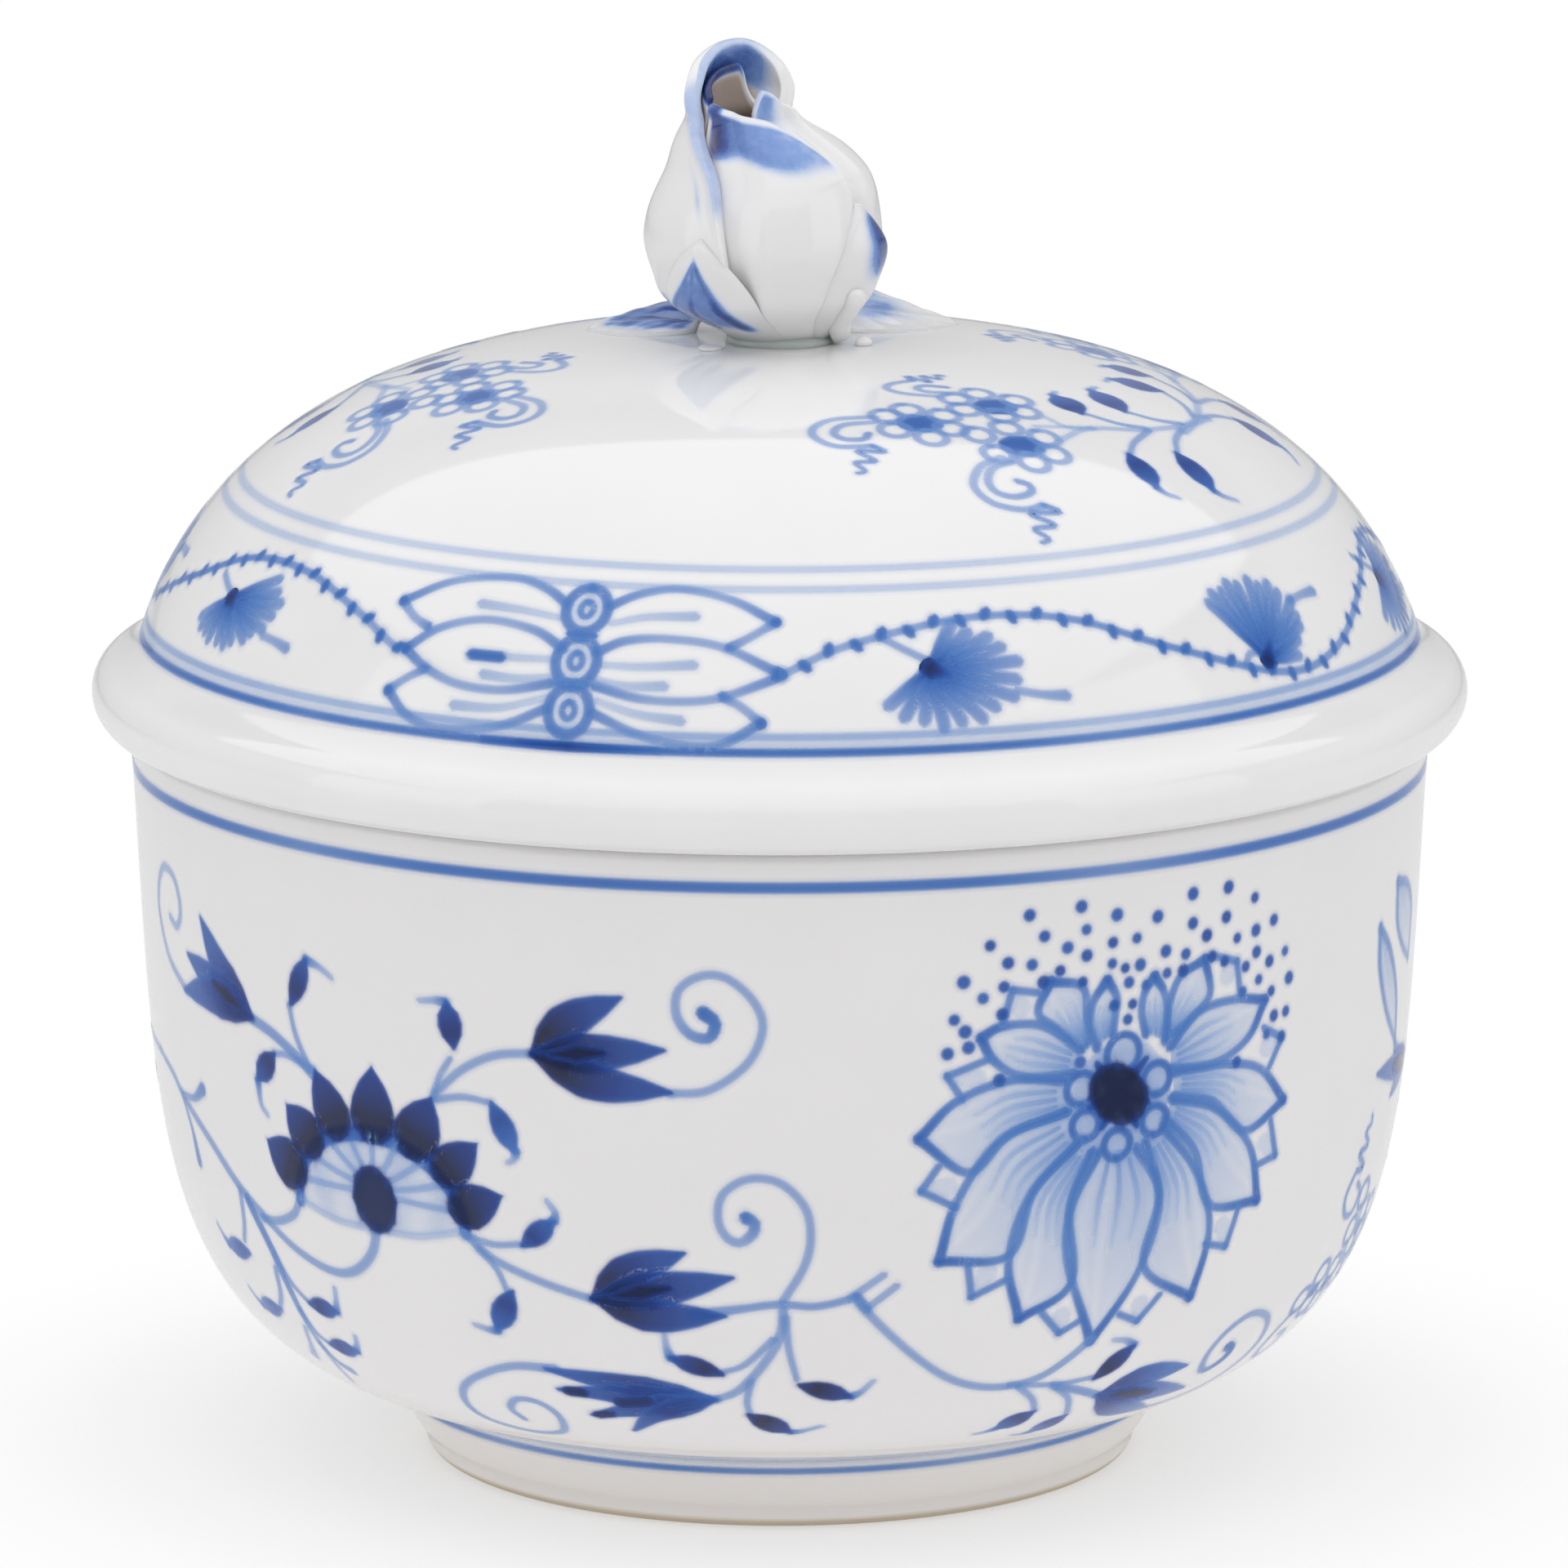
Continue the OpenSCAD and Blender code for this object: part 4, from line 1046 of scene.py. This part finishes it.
def left_branch(face):
    """The thin branch that climbs to the left of the aster and lets a spray of small buds hang."""
    face.stroke([(-70, 25), (-66, 26), (-63.5, 27.3), (-58, 30), (-53.5, 33), (-50.3, 34.8)],
                [0.5, 0.7, 0.9], 0.42)
    face.stroke([(-63.5, 27.3), (-60.5, 27), (-58.3, 25.8)], [0.5, 0.5, 1.1], [0.4, 0.5])
    face.stroke([(-63.5, 27.3), (-62, 30), (-61.5, 32.6)], [0.5, 0.5, 1.0], [0.4, 0.5])
    face.stroke([(-35.5, 33), (-36.5, 35.5), (-39, 37.5), (-42, 38), (-46, 37), (-50, 35)],
                [0.85, 0.7, 0.65], 0.42)
    face.stroke([(-44.3, 32), (-45.5, 33.7), (-48, 34.8), (-50.5, 35)], 0.65, 0.42)
    face.stroke([(-52.5, 33.8), (-50.3, 37.5), (-49.3, 41), (-48.8, 45), (-48.7, 48), (-49, 50.5),
                 (-49.7, 52)], [0.9, 0.95, 0.8, 0.6, 0.4], [0.5, 0.5, 0.4, 0.3])
    for stem, blob, tail, tone in (
            ([(-53.5, 33.2), (-54, 36), (-55, 38)], [(-54.7, 39), (-59, 39.2)],
             [(-59.8, 38.5), (-60.5, 37.7)], 0.62),
            ([(-50, 38), (-48.5, 40.5), (-46.7, 42)], [(-46.7, 42), (-43, 42)],
             [(-42.5, 40.8), (-42.2, 39.6)], 0.74),
            ([(-50.5, 39.5), (-51.3, 42), (-52.8, 43.8)], [(-52.9, 43.9), (-57, 44.5)],
             [(-57.8, 43.8), (-58.3, 43)], 0.6),
            ([(-49, 43), (-48, 45.3), (-46.7, 46.2)], [(-46.7, 46.2), (-42.8, 46)],
             [(-42.2, 45.2), (-41.8, 44.2)], 0.72)):
        bud(face, stem, blob, tail, 1.9, tone)
    face.stroke([(-49.7, 45), (-51, 47.3), (-52.4, 49)], [0.45, 0.45, 1.0], 0.36)
    face.stroke([(-48.7, 46.5), (-47.8, 48.5), (-46.6, 49.3)], [0.5, 0.5, 1.1], 0.42)


def petal_tone(along, across):
    """A petal's wash is deepest by the flower's eye and along fine strokes, and white near its tip."""
    streaks = np.sin(across * 17 + 1.3) * np.sin(across * 9.1 + 0.4)
    return np.clip(0.33 - 0.25 * along + 0.07 * streaks * (1 - 0.5 * along), 0.0, 1)


def big_flower(face):
    """The round many-petalled flower: a near-black eye in six beads, washed and outlined petals with
    square tabs between their tips, and a halo of dots over its head."""
    petals = (
        ([(26.5, 25.5), (24.2, 30), (24.5, 35), (28, 42.3)],
         [(30, 25.6), (32.7, 30), (31.6, 36), (28, 42.3)]),
        ([(24.6, 24.5), (20.5, 28.5), (19, 34), (20.5, 39.2)],
         [(25.8, 25.4), (24.1, 30), (24.9, 36.5), (20.5, 39.2)]),
        ([(23.4, 21.9), (17.8, 23.7), (14.3, 28.5), (13, 33.5)],
         [(24.6, 24.5), (20.8, 28.2), (19, 33.4), (13, 33.5)]),
        ([(23.2, 19.4), (18.5, 18.9), (14, 20.3), (11, 23.2)],
         [(23.4, 21.9), (18.5, 23.3), (15.2, 26.2), (11, 23.2)]),
        ([(24.4, 17), (21, 14.7), (17.6, 14.5), (15.9, 15.3)],
         [(24, 18.9), (19.5, 18.7), (17, 17.2), (15.9, 15.3)]),
        ([(24.5, 16.8), (22.2, 15), (20.6, 13.6), (21.6, 11.2)],
         [(25, 16.5), (24.9, 14.5), (24.4, 11.9), (21.6, 11.2)]),
        ([(25.9, 17), (25.2, 15), (25.4, 13.2), (26.6, 11.6)],
         [(27.2, 16), (27.4, 14.5), (27.5, 13), (26.6, 11.6)]),
        ([(30.4, 16.4), (29.9, 14.6), (30.1, 13), (31, 11.8)],
         [(32.3, 17.2), (32.4, 15), (32, 13.2), (31, 11.8)]),
        ([(32.4, 17), (32.5, 14.6), (33.5, 12.2), (36, 11.1)],
         [(33.2, 16.8), (35, 15.6), (36.7, 14), (36, 11.1)]),
        ([(32.8, 17.8), (35.6, 15.3), (39.5, 14.9), (43, 15.5)],
         [(33, 19.6), (37.5, 19.8), (41.2, 18.3), (43, 15.5)]),
        ([(33.2, 19.9), (39, 20.1), (43, 21.2), (46.2, 24.3)],
         [(33.4, 21.9), (37.5, 22.9), (41.5, 26), (46.2, 24.3)]),
        ([(33.2, 22.1), (38, 23.6), (42.3, 27.4), (44.1, 32.3)],
         [(32.6, 23.6), (36, 26.8), (38.2, 31.6), (44.1, 32.3)]),
        ([(32.4, 24.2), (36.2, 28.3), (38.6, 33.5), (38, 39.7)],
         [(30.8, 25.3), (32.6, 30), (32, 36), (38, 39.7)]))
    for first, second in petals:
        face.wash(first, second, petal_tone)
    for first, second in petals:
        face.stroke(first, [0.8, 0.66, 0.62, 0.8], [0.55, 0.5, 0.5, 0.62])
        face.stroke(second, [0.8, 0.66, 0.62, 0.8], [0.55, 0.5, 0.5, 0.62])
    for start, corner, end in (((12.7, 25.5), (11.3, 27.5), (14.2, 29)),
                               ((15.5, 34), (16, 36.8), (19, 35.5)),
                               ((22.5, 38.8), (24.6, 41), (26.5, 40)),
                               ((30.3, 40), (32.5, 41), (34.3, 38.8)),
                               ((38.4, 35), (41, 35.7), (41.8, 32.5)),
                               ((43.5, 29.2), (45.8, 28.8), (44.7, 25.7)),
                               ((44.0, 21.2), (45.4, 19), (43, 17.8)),
                               ((16.7, 17), (13.2, 18.2), (14.5, 20.2)),
                               ((17.7, 14.2), (18.4, 11.6), (20.6, 12)),
                               ((37, 11), (39.5, 11.8), (40, 14.6))):
        face.stroke([start, ((start[0] + corner[0]) / 2, (start[1] + corner[1]) / 2), corner], 0.55, 0.5)
        face.stroke([corner, ((end[0] + corner[0]) / 2, (end[1] + corner[1]) / 2), end], 0.55, 0.5)
        near = ((start[0] + end[0]) / 2, (start[1] + end[1]) / 2)
        face.stroke([near, ((near[0] + corner[0]) / 2, (near[1] + corner[1]) / 2)], [1.6, 1.2], 0.16, 0)
    random = np.random.default_rng(5)
    for first, second in petals:
        for share in (0.3, 0.52, 0.74):
            a, b = (np.array(edge, float) for edge in (first, second))
            line = (1 - share) * a + share * b
            cut = 0.45 + 0.25 * random.random()
            inner = [line[0] + (line[1] - line[0]) * 0.2, line[1], line[1] + (line[2] - line[1]) * cut]
            face.stroke(inner, [0.3, 0.45, 0.2], [0.42, 0.3, 0.16])
    face.dot(28.2, 21.4, 9.6, 0.36, 0)
    for s, q, r in ((28.3, 17.7, 1.5), (24.6, 20.2, 1.3), (31.6, 20.2, 1.3), (25.1, 23.2, 1.2),
                    (31.6, 23.6, 1.2), (28.1, 25.1, 1.2)):
        face.ring(s, q, r, 0.6, 0.6)
    face.stroke([(27.3, 20.4), (28, 21), (28.8, 21.6)], [4.2, 4.8, 4.2], 0.98, 3)
    for s, q in ((25.9, 18.3), (30.5, 18.4), (25.4, 21.8), (30.9, 22), (26.6, 23.6), (29.9, 23.8)):
        face.stroke([(28, 21), ((28 + s) / 2, (21 + q) / 2), (s, q)], [1.6, 1.0, 0.5], [0.9, 0.75], 2)
    for s, q in ((19.7, 5.7), (24.1, 5.4), (16.5, 7.9), (21, 7.5), (24.6, 7.3), (27.3, 6.4), (31.1, 7),
                 (34.5, 5.6),
                 (38.2, 5.6), (41.2, 6.9), (18, 9.4), (20, 9.7), (23, 8.6), (24.7, 9.4), (27, 8.6),
                 (29.2, 8.5),
                 (32, 9.9), (34.6, 8), (36.1, 9.2), (38.1, 8), (39.4, 9.9), (41.5, 9.6), (43.6, 9.1),
                 (14.4, 10.7),
                 (16, 12.1), (17.7, 11.3), (21, 11.2), (22.4, 10.4), (24.4, 11.5), (27, 10.3), (28.2, 10.8),
                 (29.6, 10.7), (28.6, 12), (27.3, 13.7), (29, 13.8), (28.6, 15), (30.2, 12.4), (32.2, 11.7),
                 (33.8, 11.7), (34, 10.4), (36.7, 11), (38.1, 11.6), (40.5, 12.4), (41.7, 11.4),
                 (43.3, 12.4),
                 (45.2, 11.9), (42.1, 13.7), (40.3, 14.4), (43.7, 14.9), (45.9, 14.2), (13.7, 13.7),
                 (17.6, 13.5),
                 (14.6, 14.7), (13.2, 16.4), (14.9, 16), (17.5, 18.8), (44.2, 17), (45.7, 16.9),
                 (43.4, 18.4), (45.3, 18.9), (24.4, 18), (40, 20.1)):
        face.dot(s, q, 0.85 + 0.3 * random.random(), 0.64 + 0.12 * random.random(), 2)


def lower_spray(face):
    """The spray under the flower: three buds, a pale lobed leaf and the scroll that closes it."""
    bud(face, [(21, 45.9), (26, 46.5), (30, 46.3)], [(30, 46.5), (33, 43.5)], [(32, 42.8), (30.5, 42.5)],
        2.0, 0.86)
    bud(face, [(22, 46.2), (24, 48), (25, 49.8)], [(25, 50), (22, 52.3)], [(21, 52.8), (20, 53)], 2.4, 0.76)
    bud(face, [(25.5, 46.5), (28, 48.5), (29.3, 51)], [(29.4, 51.5), (27, 54.3)],
        [(26, 54.6), (25, 54.5)], 2.2, 0.7)
    face.stroke([(26, 46.7), (29, 47.8), (31.8, 49)], 0.8, 0.45)
    lobed_leaf(face, (31.6, 48.9), ((41.7, 47.4), (45, 51.3), (42, 53.9)), 2.7, 0.7)
    face.stroke([(40, 53.6), (44, 54), (49, 53), (52, 50.5), (53, 47.5), (52, 45), (50, 43.7),
                 (47.5, 43.3), (45, 44.5),
                 (44, 46.5), (44.7, 48.5), (46.2, 49), (47.7, 48), (47.7, 46.9), (46.8, 46.4)],
                [0.9, 0.65, 0.6, 0.6, 0.6, 0.65, 1.0], [0.36, 0.36, 0.4, 0.42, 0.42, 0.6])


def fruit_spray(face):
    """The fruit branch at the right, between this flower and the next repeat's aster: a grape-like
    cluster of ringed berries with double tendrils, narrow leaves and a pair of pods."""
    for first, second in (([(61, 13), (61.5, 16.5), (64, 20.5), (68, 24)],
                           [(61, 13), (64, 15.5), (66.8, 19.5), (68, 24)]),
                          ([(65, 10), (65.6, 13.5), (68, 16), (71, 17.6)],
                           [(65, 10), (68.5, 10.9), (71, 13.4), (71, 17.6)])):
        face.wash(first, second, petal_tone)
        face.stroke(first, [0.8, 0.55, 0.5], 0.46)
        face.stroke(second, [0.8, 0.55, 0.5], 0.46)
    lobed_leaf(face, (75.5, 26.8), ((68, 24.6), (63, 25.6), (68.5, 28.6)), 2.2, 0.72)
    face.stroke([(68, 24), (72, 26), (75.5, 26.8), (80, 26.2), (86, 24.9), (93.4, 25)],
                [0.5, 0.7, 0.6, 0.5], 0.4)
    wriggle(face, (61.6, 33.4), (63, 29), 1.2)
    face.stroke([(61.2, 33.2), (59.7, 35.2), (60.6, 37), (62.5, 37.2), (63.4, 35.6), (62.2, 34.6)], 0.5,
                0.45)
    for s, q in ((65.2, 36.2), (67.4, 38.2), (64.2, 39.2), (66.4, 40.8), (69.2, 40.4), (63.4, 42.4),
                 (66, 43.6),
                 (60, 42.2), (57.6, 44.2), (60.4, 45.2), (63, 45.6), (68.8, 43.2), (71, 41.6), (70, 38.4)):
        face.ring(s, q, 1.25, 0.45, 0.46)
    for s, q in ((67, 39.6), (63, 43.9), (60, 43.8), (68.5, 42)):
        face.dot(s, q, 1.5, 0.7)
    face.stroke([(57, 45.4), (55.6, 47.4), (55.8, 49.6), (57.6, 50.6), (59.4, 49.6), (59.2, 47.9),
                 (57.8, 47.8)], 0.55, 0.42)
    face.stroke([(71.6, 40.5), (74.5, 38), (76.4, 34.5), (76.6, 30.5), (75.4, 27)], [0.6, 0.65], 0.42)
    bud(face, [(76.2, 35.4), (78.6, 36.4), (80.2, 38.4)], [(80.3, 38.6), (79.6, 42.4)],
        [(78.8, 43.6), (77.6, 44.2)])
    bud(face, [(76.6, 31), (79, 31.2), (81.4, 30.4)], [(81.6, 30.2), (85.2, 28.2)],
        [(86.4, 28), (87.8, 28.8)], 1.9)


down = np.linspace(bowl_h, foot_h + 0.02, 700)
bowl_face = PaintedFace(np.stack([bowl_radius(down), down], axis=-1), 0.0, 52.0, 1)
bowl_face.band(2.7, 0.8, 0.55)
for repeat in (0, 1):
    bowl_face.shift = repeat * np.pi * bowl_face.around
    left_branch(bowl_face)
    aster_spray(bowl_face)
    main_vine(bowl_face)
    big_flower(bowl_face)
    lower_spray(bowl_face)
    fruit_spray(bowl_face)
cobalt = underglaze_cobalt("underglaze_cobalt")
bowl_face.finish("painting_bowl", "bowl_body", cobalt)


# ---- Cobalt painting on the foot ring ----
# Two lines turned on the wheel where the foot ring meets the bowl: a firm one and a faint one above it.
foot_side = bezier((foot_low, foot_corner * 1.4), (foot_low + foot_taper * 0.65, foot_h * 0.6),
                   (foot_out, underside(foot_out) - 0.04), 60)
foot_face = PaintedFace(foot_side, 0.0, foot_out, -1)
for height, width, tone in ((5.36, 0.5, 0.5), (6.15, 0.3, 0.2)):
    foot_face.band(float(np.interp(height, foot_side[:, 1], foot_face.along)), width, tone)
foot_face.finish("painting_foot", "bowl_body", cobalt)


# ---- Cobalt painting on the lid's band ----
# Round the lid's shoulder, between turned lines, runs a border of two winged flowers joined by a
# barbed vine with pine-like fans.
def winged_flower(face):
    """Three stacked eyes with three pairs of outlined wings, each wing with one vein."""
    wings = (
        [(-18, 2.7), (-22, 0.9), (-27, 0.3), (-30, 1), (-32.2, 2.7)],
        [(-32.2, 2.7), (-30.9, 3.8), (-29.3, 4.8)],
        [(-14.5, 2.5), (-10, 0.8), (-5, 0.3), (-1.4, 2.1)], [(-1.4, 2.1), (-2.8, 3.3), (-4.4, 4.2)],
        [(-17.8, 4.7), (-22, 3.8), (-26, 3.9), (-29.3, 4.9), (-31.7, 6.2)],
        [(-31.7, 6.2), (-29, 8.3), (-25, 9.4), (-20.5, 8.9), (-17.6, 7.5)],
        [(-14.6, 4.7), (-10.5, 3.8), (-5.5, 3.9), (-1.5, 5.2), (0.2, 6)],
        [(0.2, 6), (-4.5, 8.2), (-9, 8.8), (-12.5, 8.5), (-14.8, 7.4)],
        [(-30.2, 8.2), (-32, 8.9), (-33.7, 10.1)],
        [(-33.7, 10.1), (-29.5, 12.4), (-24, 13.3), (-20.5, 12.6), (-18.3, 11.4)],
        [(-4, 8.2), (-2.2, 9.2), (-0.3, 10.4)],
        [(-0.3, 10.4), (-4, 12.3), (-8.5, 13.2), (-12, 12.6), (-14.4, 11.4)])
    for points in wings:
        face.stroke(points, [0.75, 0.6, 0.6, 0.75], [0.52, 0.42, 0.42, 0.52])
    for tip in ((-32.2, 2.7), (-1.4, 2.1), (-31.7, 6.2), (0.2, 6), (-33.7, 10.1), (-0.3, 10.4)):
        face.dot(*tip, 0.85, 0.6, 2)
    for points in ([(-14.2, 6.4), (-11, 6.4), (-6.8, 6.7)], [(-18.3, 6.6), (-21, 6.5), (-25.6, 6.4)],
                   [(-18, 3.6), (-22, 2.4), (-26, 2.2)], [(-14.2, 3.5), (-11, 2.6), (-7.5, 2.2)],
                   [(-18.5, 10.1), (-22, 10.5), (-26, 10.7)], [(-14, 9.9), (-11, 10.6), (-7, 10.8)],
                   [(-17.8, 5.2), (-21, 4.8), (-24, 4.9)], [(-14.8, 5.2), (-12, 4.8), (-9, 4.9)]):
        face.stroke(points, [0.5, 0.6, 0.75], [0.26, 0.3, 0.36])
    face.stroke([(-25.4, 6.4), (-22.8, 6.4)], 0.85, 0.6, 2)
    for q in (2.6, 6.6, 11.0):
        face.dot(-16.35, q, 3.3, 0.14, 1)
        face.ring(-16.35, q, 1.68, 0.8, 0.52, 2, 1.15)
        face.ring(-16.35, q, 0.5, 0.5, 0.5, 2, 1.3, 0.2)
    for q in (4.7, 8.8):
        face.stroke([(-17.4, q), (-16.3, q), (-15.2, q)], [0.5, 0.8, 0.5], 0.54, 2)


def barbed_vine(face, path):
    """A wavy stalk with knots every 2.3 mm, alternately on its upper and its lower side."""
    face.stroke(path, 0.55, [0.42, 0.5, 0.45, 0.55, 0.42])
    line = spline(path, 2.3)
    way = np.gradient(line, axis=0)
    way /= np.linalg.norm(way, axis=1, keepdims=True)
    side = np.where(np.arange(len(line)) % 2 == 0, 0.42, -0.42)
    for (s, q), (ds, dq), off in zip(line, way, side):
        face.stroke([(s - 0.25 * ds, q - 0.25 * dq), (s - dq * off, q + ds * off)], [0.8, 0.75], 0.58, 2,
                    0.3)


def fan(face, apex, arch, stalk, stem):
    """A pine-like fan: fourteen strokes from a dark apex to a notched arch, over a pale wash."""
    arch = spline(arch, 0.4)
    tips = arch[np.linspace(0, len(arch) - 1, 14).astype(int)]
    toward = np.array(apex, float)
    face.wash([apex, (toward + tips[0]) / 2, tips[0]], [apex, (toward + tips[-1]) / 2, tips[-1]],
              lambda along, across: 0.2 + 0 * along * across, 0)
    for i, tip in enumerate(tips):
        start = toward + (tip - toward) * (1.0 if i % 2 else 0.94)
        face.stroke([start, (start + toward) / 2, toward], [1.0, 1.05, 0.6], [0.46, 0.54, 0.78])
    face.stroke([toward, toward + (tips[7] - toward) * 0.22], [1.5, 0.7], [0.93, 0.7], 3)
    face.stroke(stalk, [0.6, 0.6, 0.85], [0.4, 0.45])
    face.stroke(stem, 0.55, 0.42)


def fan_up(face):
    fan(face, (12, 6.2), [(8.2, 3.2), (10.5, 2), (13.5, 1.5), (17, 2.6), (19.3, 4.8), (18.4, 7.8),
                          (14.2, 9.8)],
        [(18.8, 4), (21, 3.5), (22.8, 3.3)], [(8.2, 9), (10, 7.9), (12, 6.8)])


def fan_down(face):
    fan(face, (43.3, 3.6), [(39, 9.4), (42, 10.4), (45.5, 10.2), (48.6, 8.8), (49.4, 6.6), (47.2, 3.4)],
        [(49, 7.7), (51, 7.9), (53.2, 7.9)], [(40.6, 3.6), (41.5, 4.4), (43, 4.2)])


lid_rise = np.concatenate([sweep[::-1], dome_outside[::-1][1:-1]])
sweep_length = float(np.linalg.norm(np.diff(sweep, axis=0), axis=1).sum())
band_face = PaintedFace(lid_rise, sweep_length, 50.0, -1)
band_face.band(-0.2, 0.6, 0.58, 2)
band_face.band(0.45, 1.5, 0.16, 0)
band_face.band(1.05, 0.5, 0.34)
band_face.band(13.3, 0.6, 0.26)
band_face.band(15.2, 0.6, 0.26)
band_face.stroke([(-23, -0.2), (-16, -0.22), (-9, -0.2)], [0.5, 0.75, 0.4], [0.66, 0.8, 0.6], 3)
half_turn = np.pi * band_face.around
for repeat in (0, 1):
    band_face.shift = repeat * half_turn
    winged_flower(band_face)
flower_s = -16.3
band_face.shift = 0.0
barbed_vine(band_face, [(flower_s + s, q) for s, q in (
    (16.3, 5.9), (22, 8.4), (32, 10.3), (41, 9.5), (50, 6), (61, 2.4), (69, 3), (78, 6.6), (88, 9.8),
    (98, 6.6), (107, 3), (116, 7.6), (124, 10.8), (133, 9.4), (141, 6))])
barbed_vine(band_face, [(flower_s + half_turn + s, q) for s, q in (
    (16.3, 5.9), (24, 8.8), (32, 10.4), (40, 6.8), (48, 3), (57, 6), (67, 9.8), (80, 6.2), (94, 2.5),
    (108, 6.8), (118, 10.6), (127, 10.9), (135, 8.7), (141, 6))])
for shift in (0, 56, -122, -157):
    band_face.shift = shift
    fan_up(band_face)
for shift in (0, 46, -124):
    band_face.shift = shift
    fan_down(band_face)
band_face.shift = 0.0
fan(band_face, (-55, 6.9), [(-58.8, 4.5), (-56.8, 3.5), (-53.5, 3.1), (-50.5, 4), (-47.6, 6), (-47.6, 8),
                            (-49.4, 9.6)],
    [(-48, 4.9), (-46, 4.7), (-44.3, 4.4)], [(-58.5, 8.6), (-57, 7.9), (-55.4, 7.3)])
band_face.finish("painting_lid_band", "lid_body", cobalt)


# ---- Cobalt painting on the dome ----
# Four fruit sprays lie on the dome, in two mirrored pairs: three rosettes of ringed berries round a
# violet eye, three double tendrils that end in a small wave, and a twig of four leaves.
def fruit_cluster(face):
    """One spray of the dome, drawn once and then turned and mirrored."""
    rosettes = (
        ((21.8, 28), ((21.3, 25.6), (23.9, 26.3), (24.8, 28.7), (22.4, 30.9), (18.9, 30.4), (18.9, 27.3))),
        ((14.3, 33.2), ((11.3, 32.3), (14.2, 30.6), (16.9, 31.8), (17.7, 34.2), (14.4, 35.9),
                        (11.5, 35.0))),
        ((24.7, 34.7), ((23.7, 33.0), (26.8, 33.0), (28.3, 35.1), (25.6, 37.5), (21.7, 37.1),
                        (20.8, 34.9))))
    for (s, q), berries in rosettes:
        face.stroke([(s - 0.5, q), (s, q), (s + 0.5, q)], [3.0, 3.4, 3.0], 0.64, 0)
        for berry in berries:
            face.ring(*berry, 1.2, 0.62, 0.4)
    for outer, end, inner in (
            ([(19, 26.8), (16.5, 25.8), (14.9, 23.5), (15.5, 21.3), (17.5, 20.2), (19.3, 20.4)],
             (17.6, 16.6),
             [(19.5, 26), (17.5, 25.5), (16.3, 24), (16.3, 22.5), (17.5, 21.7), (19, 22), (19.3, 22.9),
              (18.6, 23.5)]),
            ([(10.2, 34.9), (6, 34.8), (3.6, 33.5), (3.2, 31.7), (5, 30), (8.3, 29.8)], (6.2, 25.9),
             [(10, 33.9), (6.5, 33.6), (5.2, 32.2), (6, 31.1), (7.8, 31), (8.5, 31.9)]),
            ([(20.4, 38), (16.5, 39.5), (15.3, 41), (17, 42.1), (21, 42.4)], (27, 42.4),
             [(23.3, 38.3), (20, 39.3), (19.3, 40.3), (21, 40.8), (23.5, 39.8)])):
        face.stroke(outer, 0.62, [0.36, 0.42])
        face.stroke(inner, 0.62, [0.36, 0.45])
        wriggle(face, outer[-1], end, 1.25)
    face.stroke([(26, 28), (30.5, 28.8), (36, 27), (42, 25.8), (47, 25.2)], [0.55, 0.6, 0.6, 0.7],
                [0.3, 0.32, 0.36])
    for start in ((25.5, 30.5), (28, 31.6)):
        face.stroke([start, (28.6, 29.6), (31, 28.7)], 0.5, 0.26)
    for stem, blob, tail, width in (
            ([(36.5, 26.7), (33, 25.8), (30.8, 24.5)], [(30.8, 24.6), (29.9, 20.5)],
             [(30.2, 19.6), (31, 18.9)], 2.5),
            ([(41, 25.7), (38, 24.8), (35.8, 23.3)], [(35.8, 23.4), (35, 18.8)],
             [(35.5, 17.9), (36.4, 17.2)], 2.7),
            ([(36.8, 26.9), (34.5, 28.6), (33, 30.9)], [(32.6, 31), (34, 34.6)],
             [(34.6, 34.9), (35.4, 35.1)], 3.0),
            ([(42, 26), (39.6, 27.6), (38, 29.7)], [(37.9, 29.7), (40, 33.6)],
             [(40.8, 33.8), (41.9, 33.8)], 3.0)):
        bud(face, stem, blob, tail, width, 0.7)


dome_face = PaintedFace(lid_rise, sweep_length, 35.0, -1)
axis = 2 * flower_s / band_face.around * dome_face.around
for turned in (0, np.pi * dome_face.around):
    dome_face.mirror, dome_face.shift = 1.0, turned
    fruit_cluster(dome_face)
    dome_face.mirror, dome_face.shift = -1.0, turned + axis
    fruit_cluster(dome_face)
dome_face.finish("painting_dome", "lid_body", cobalt)
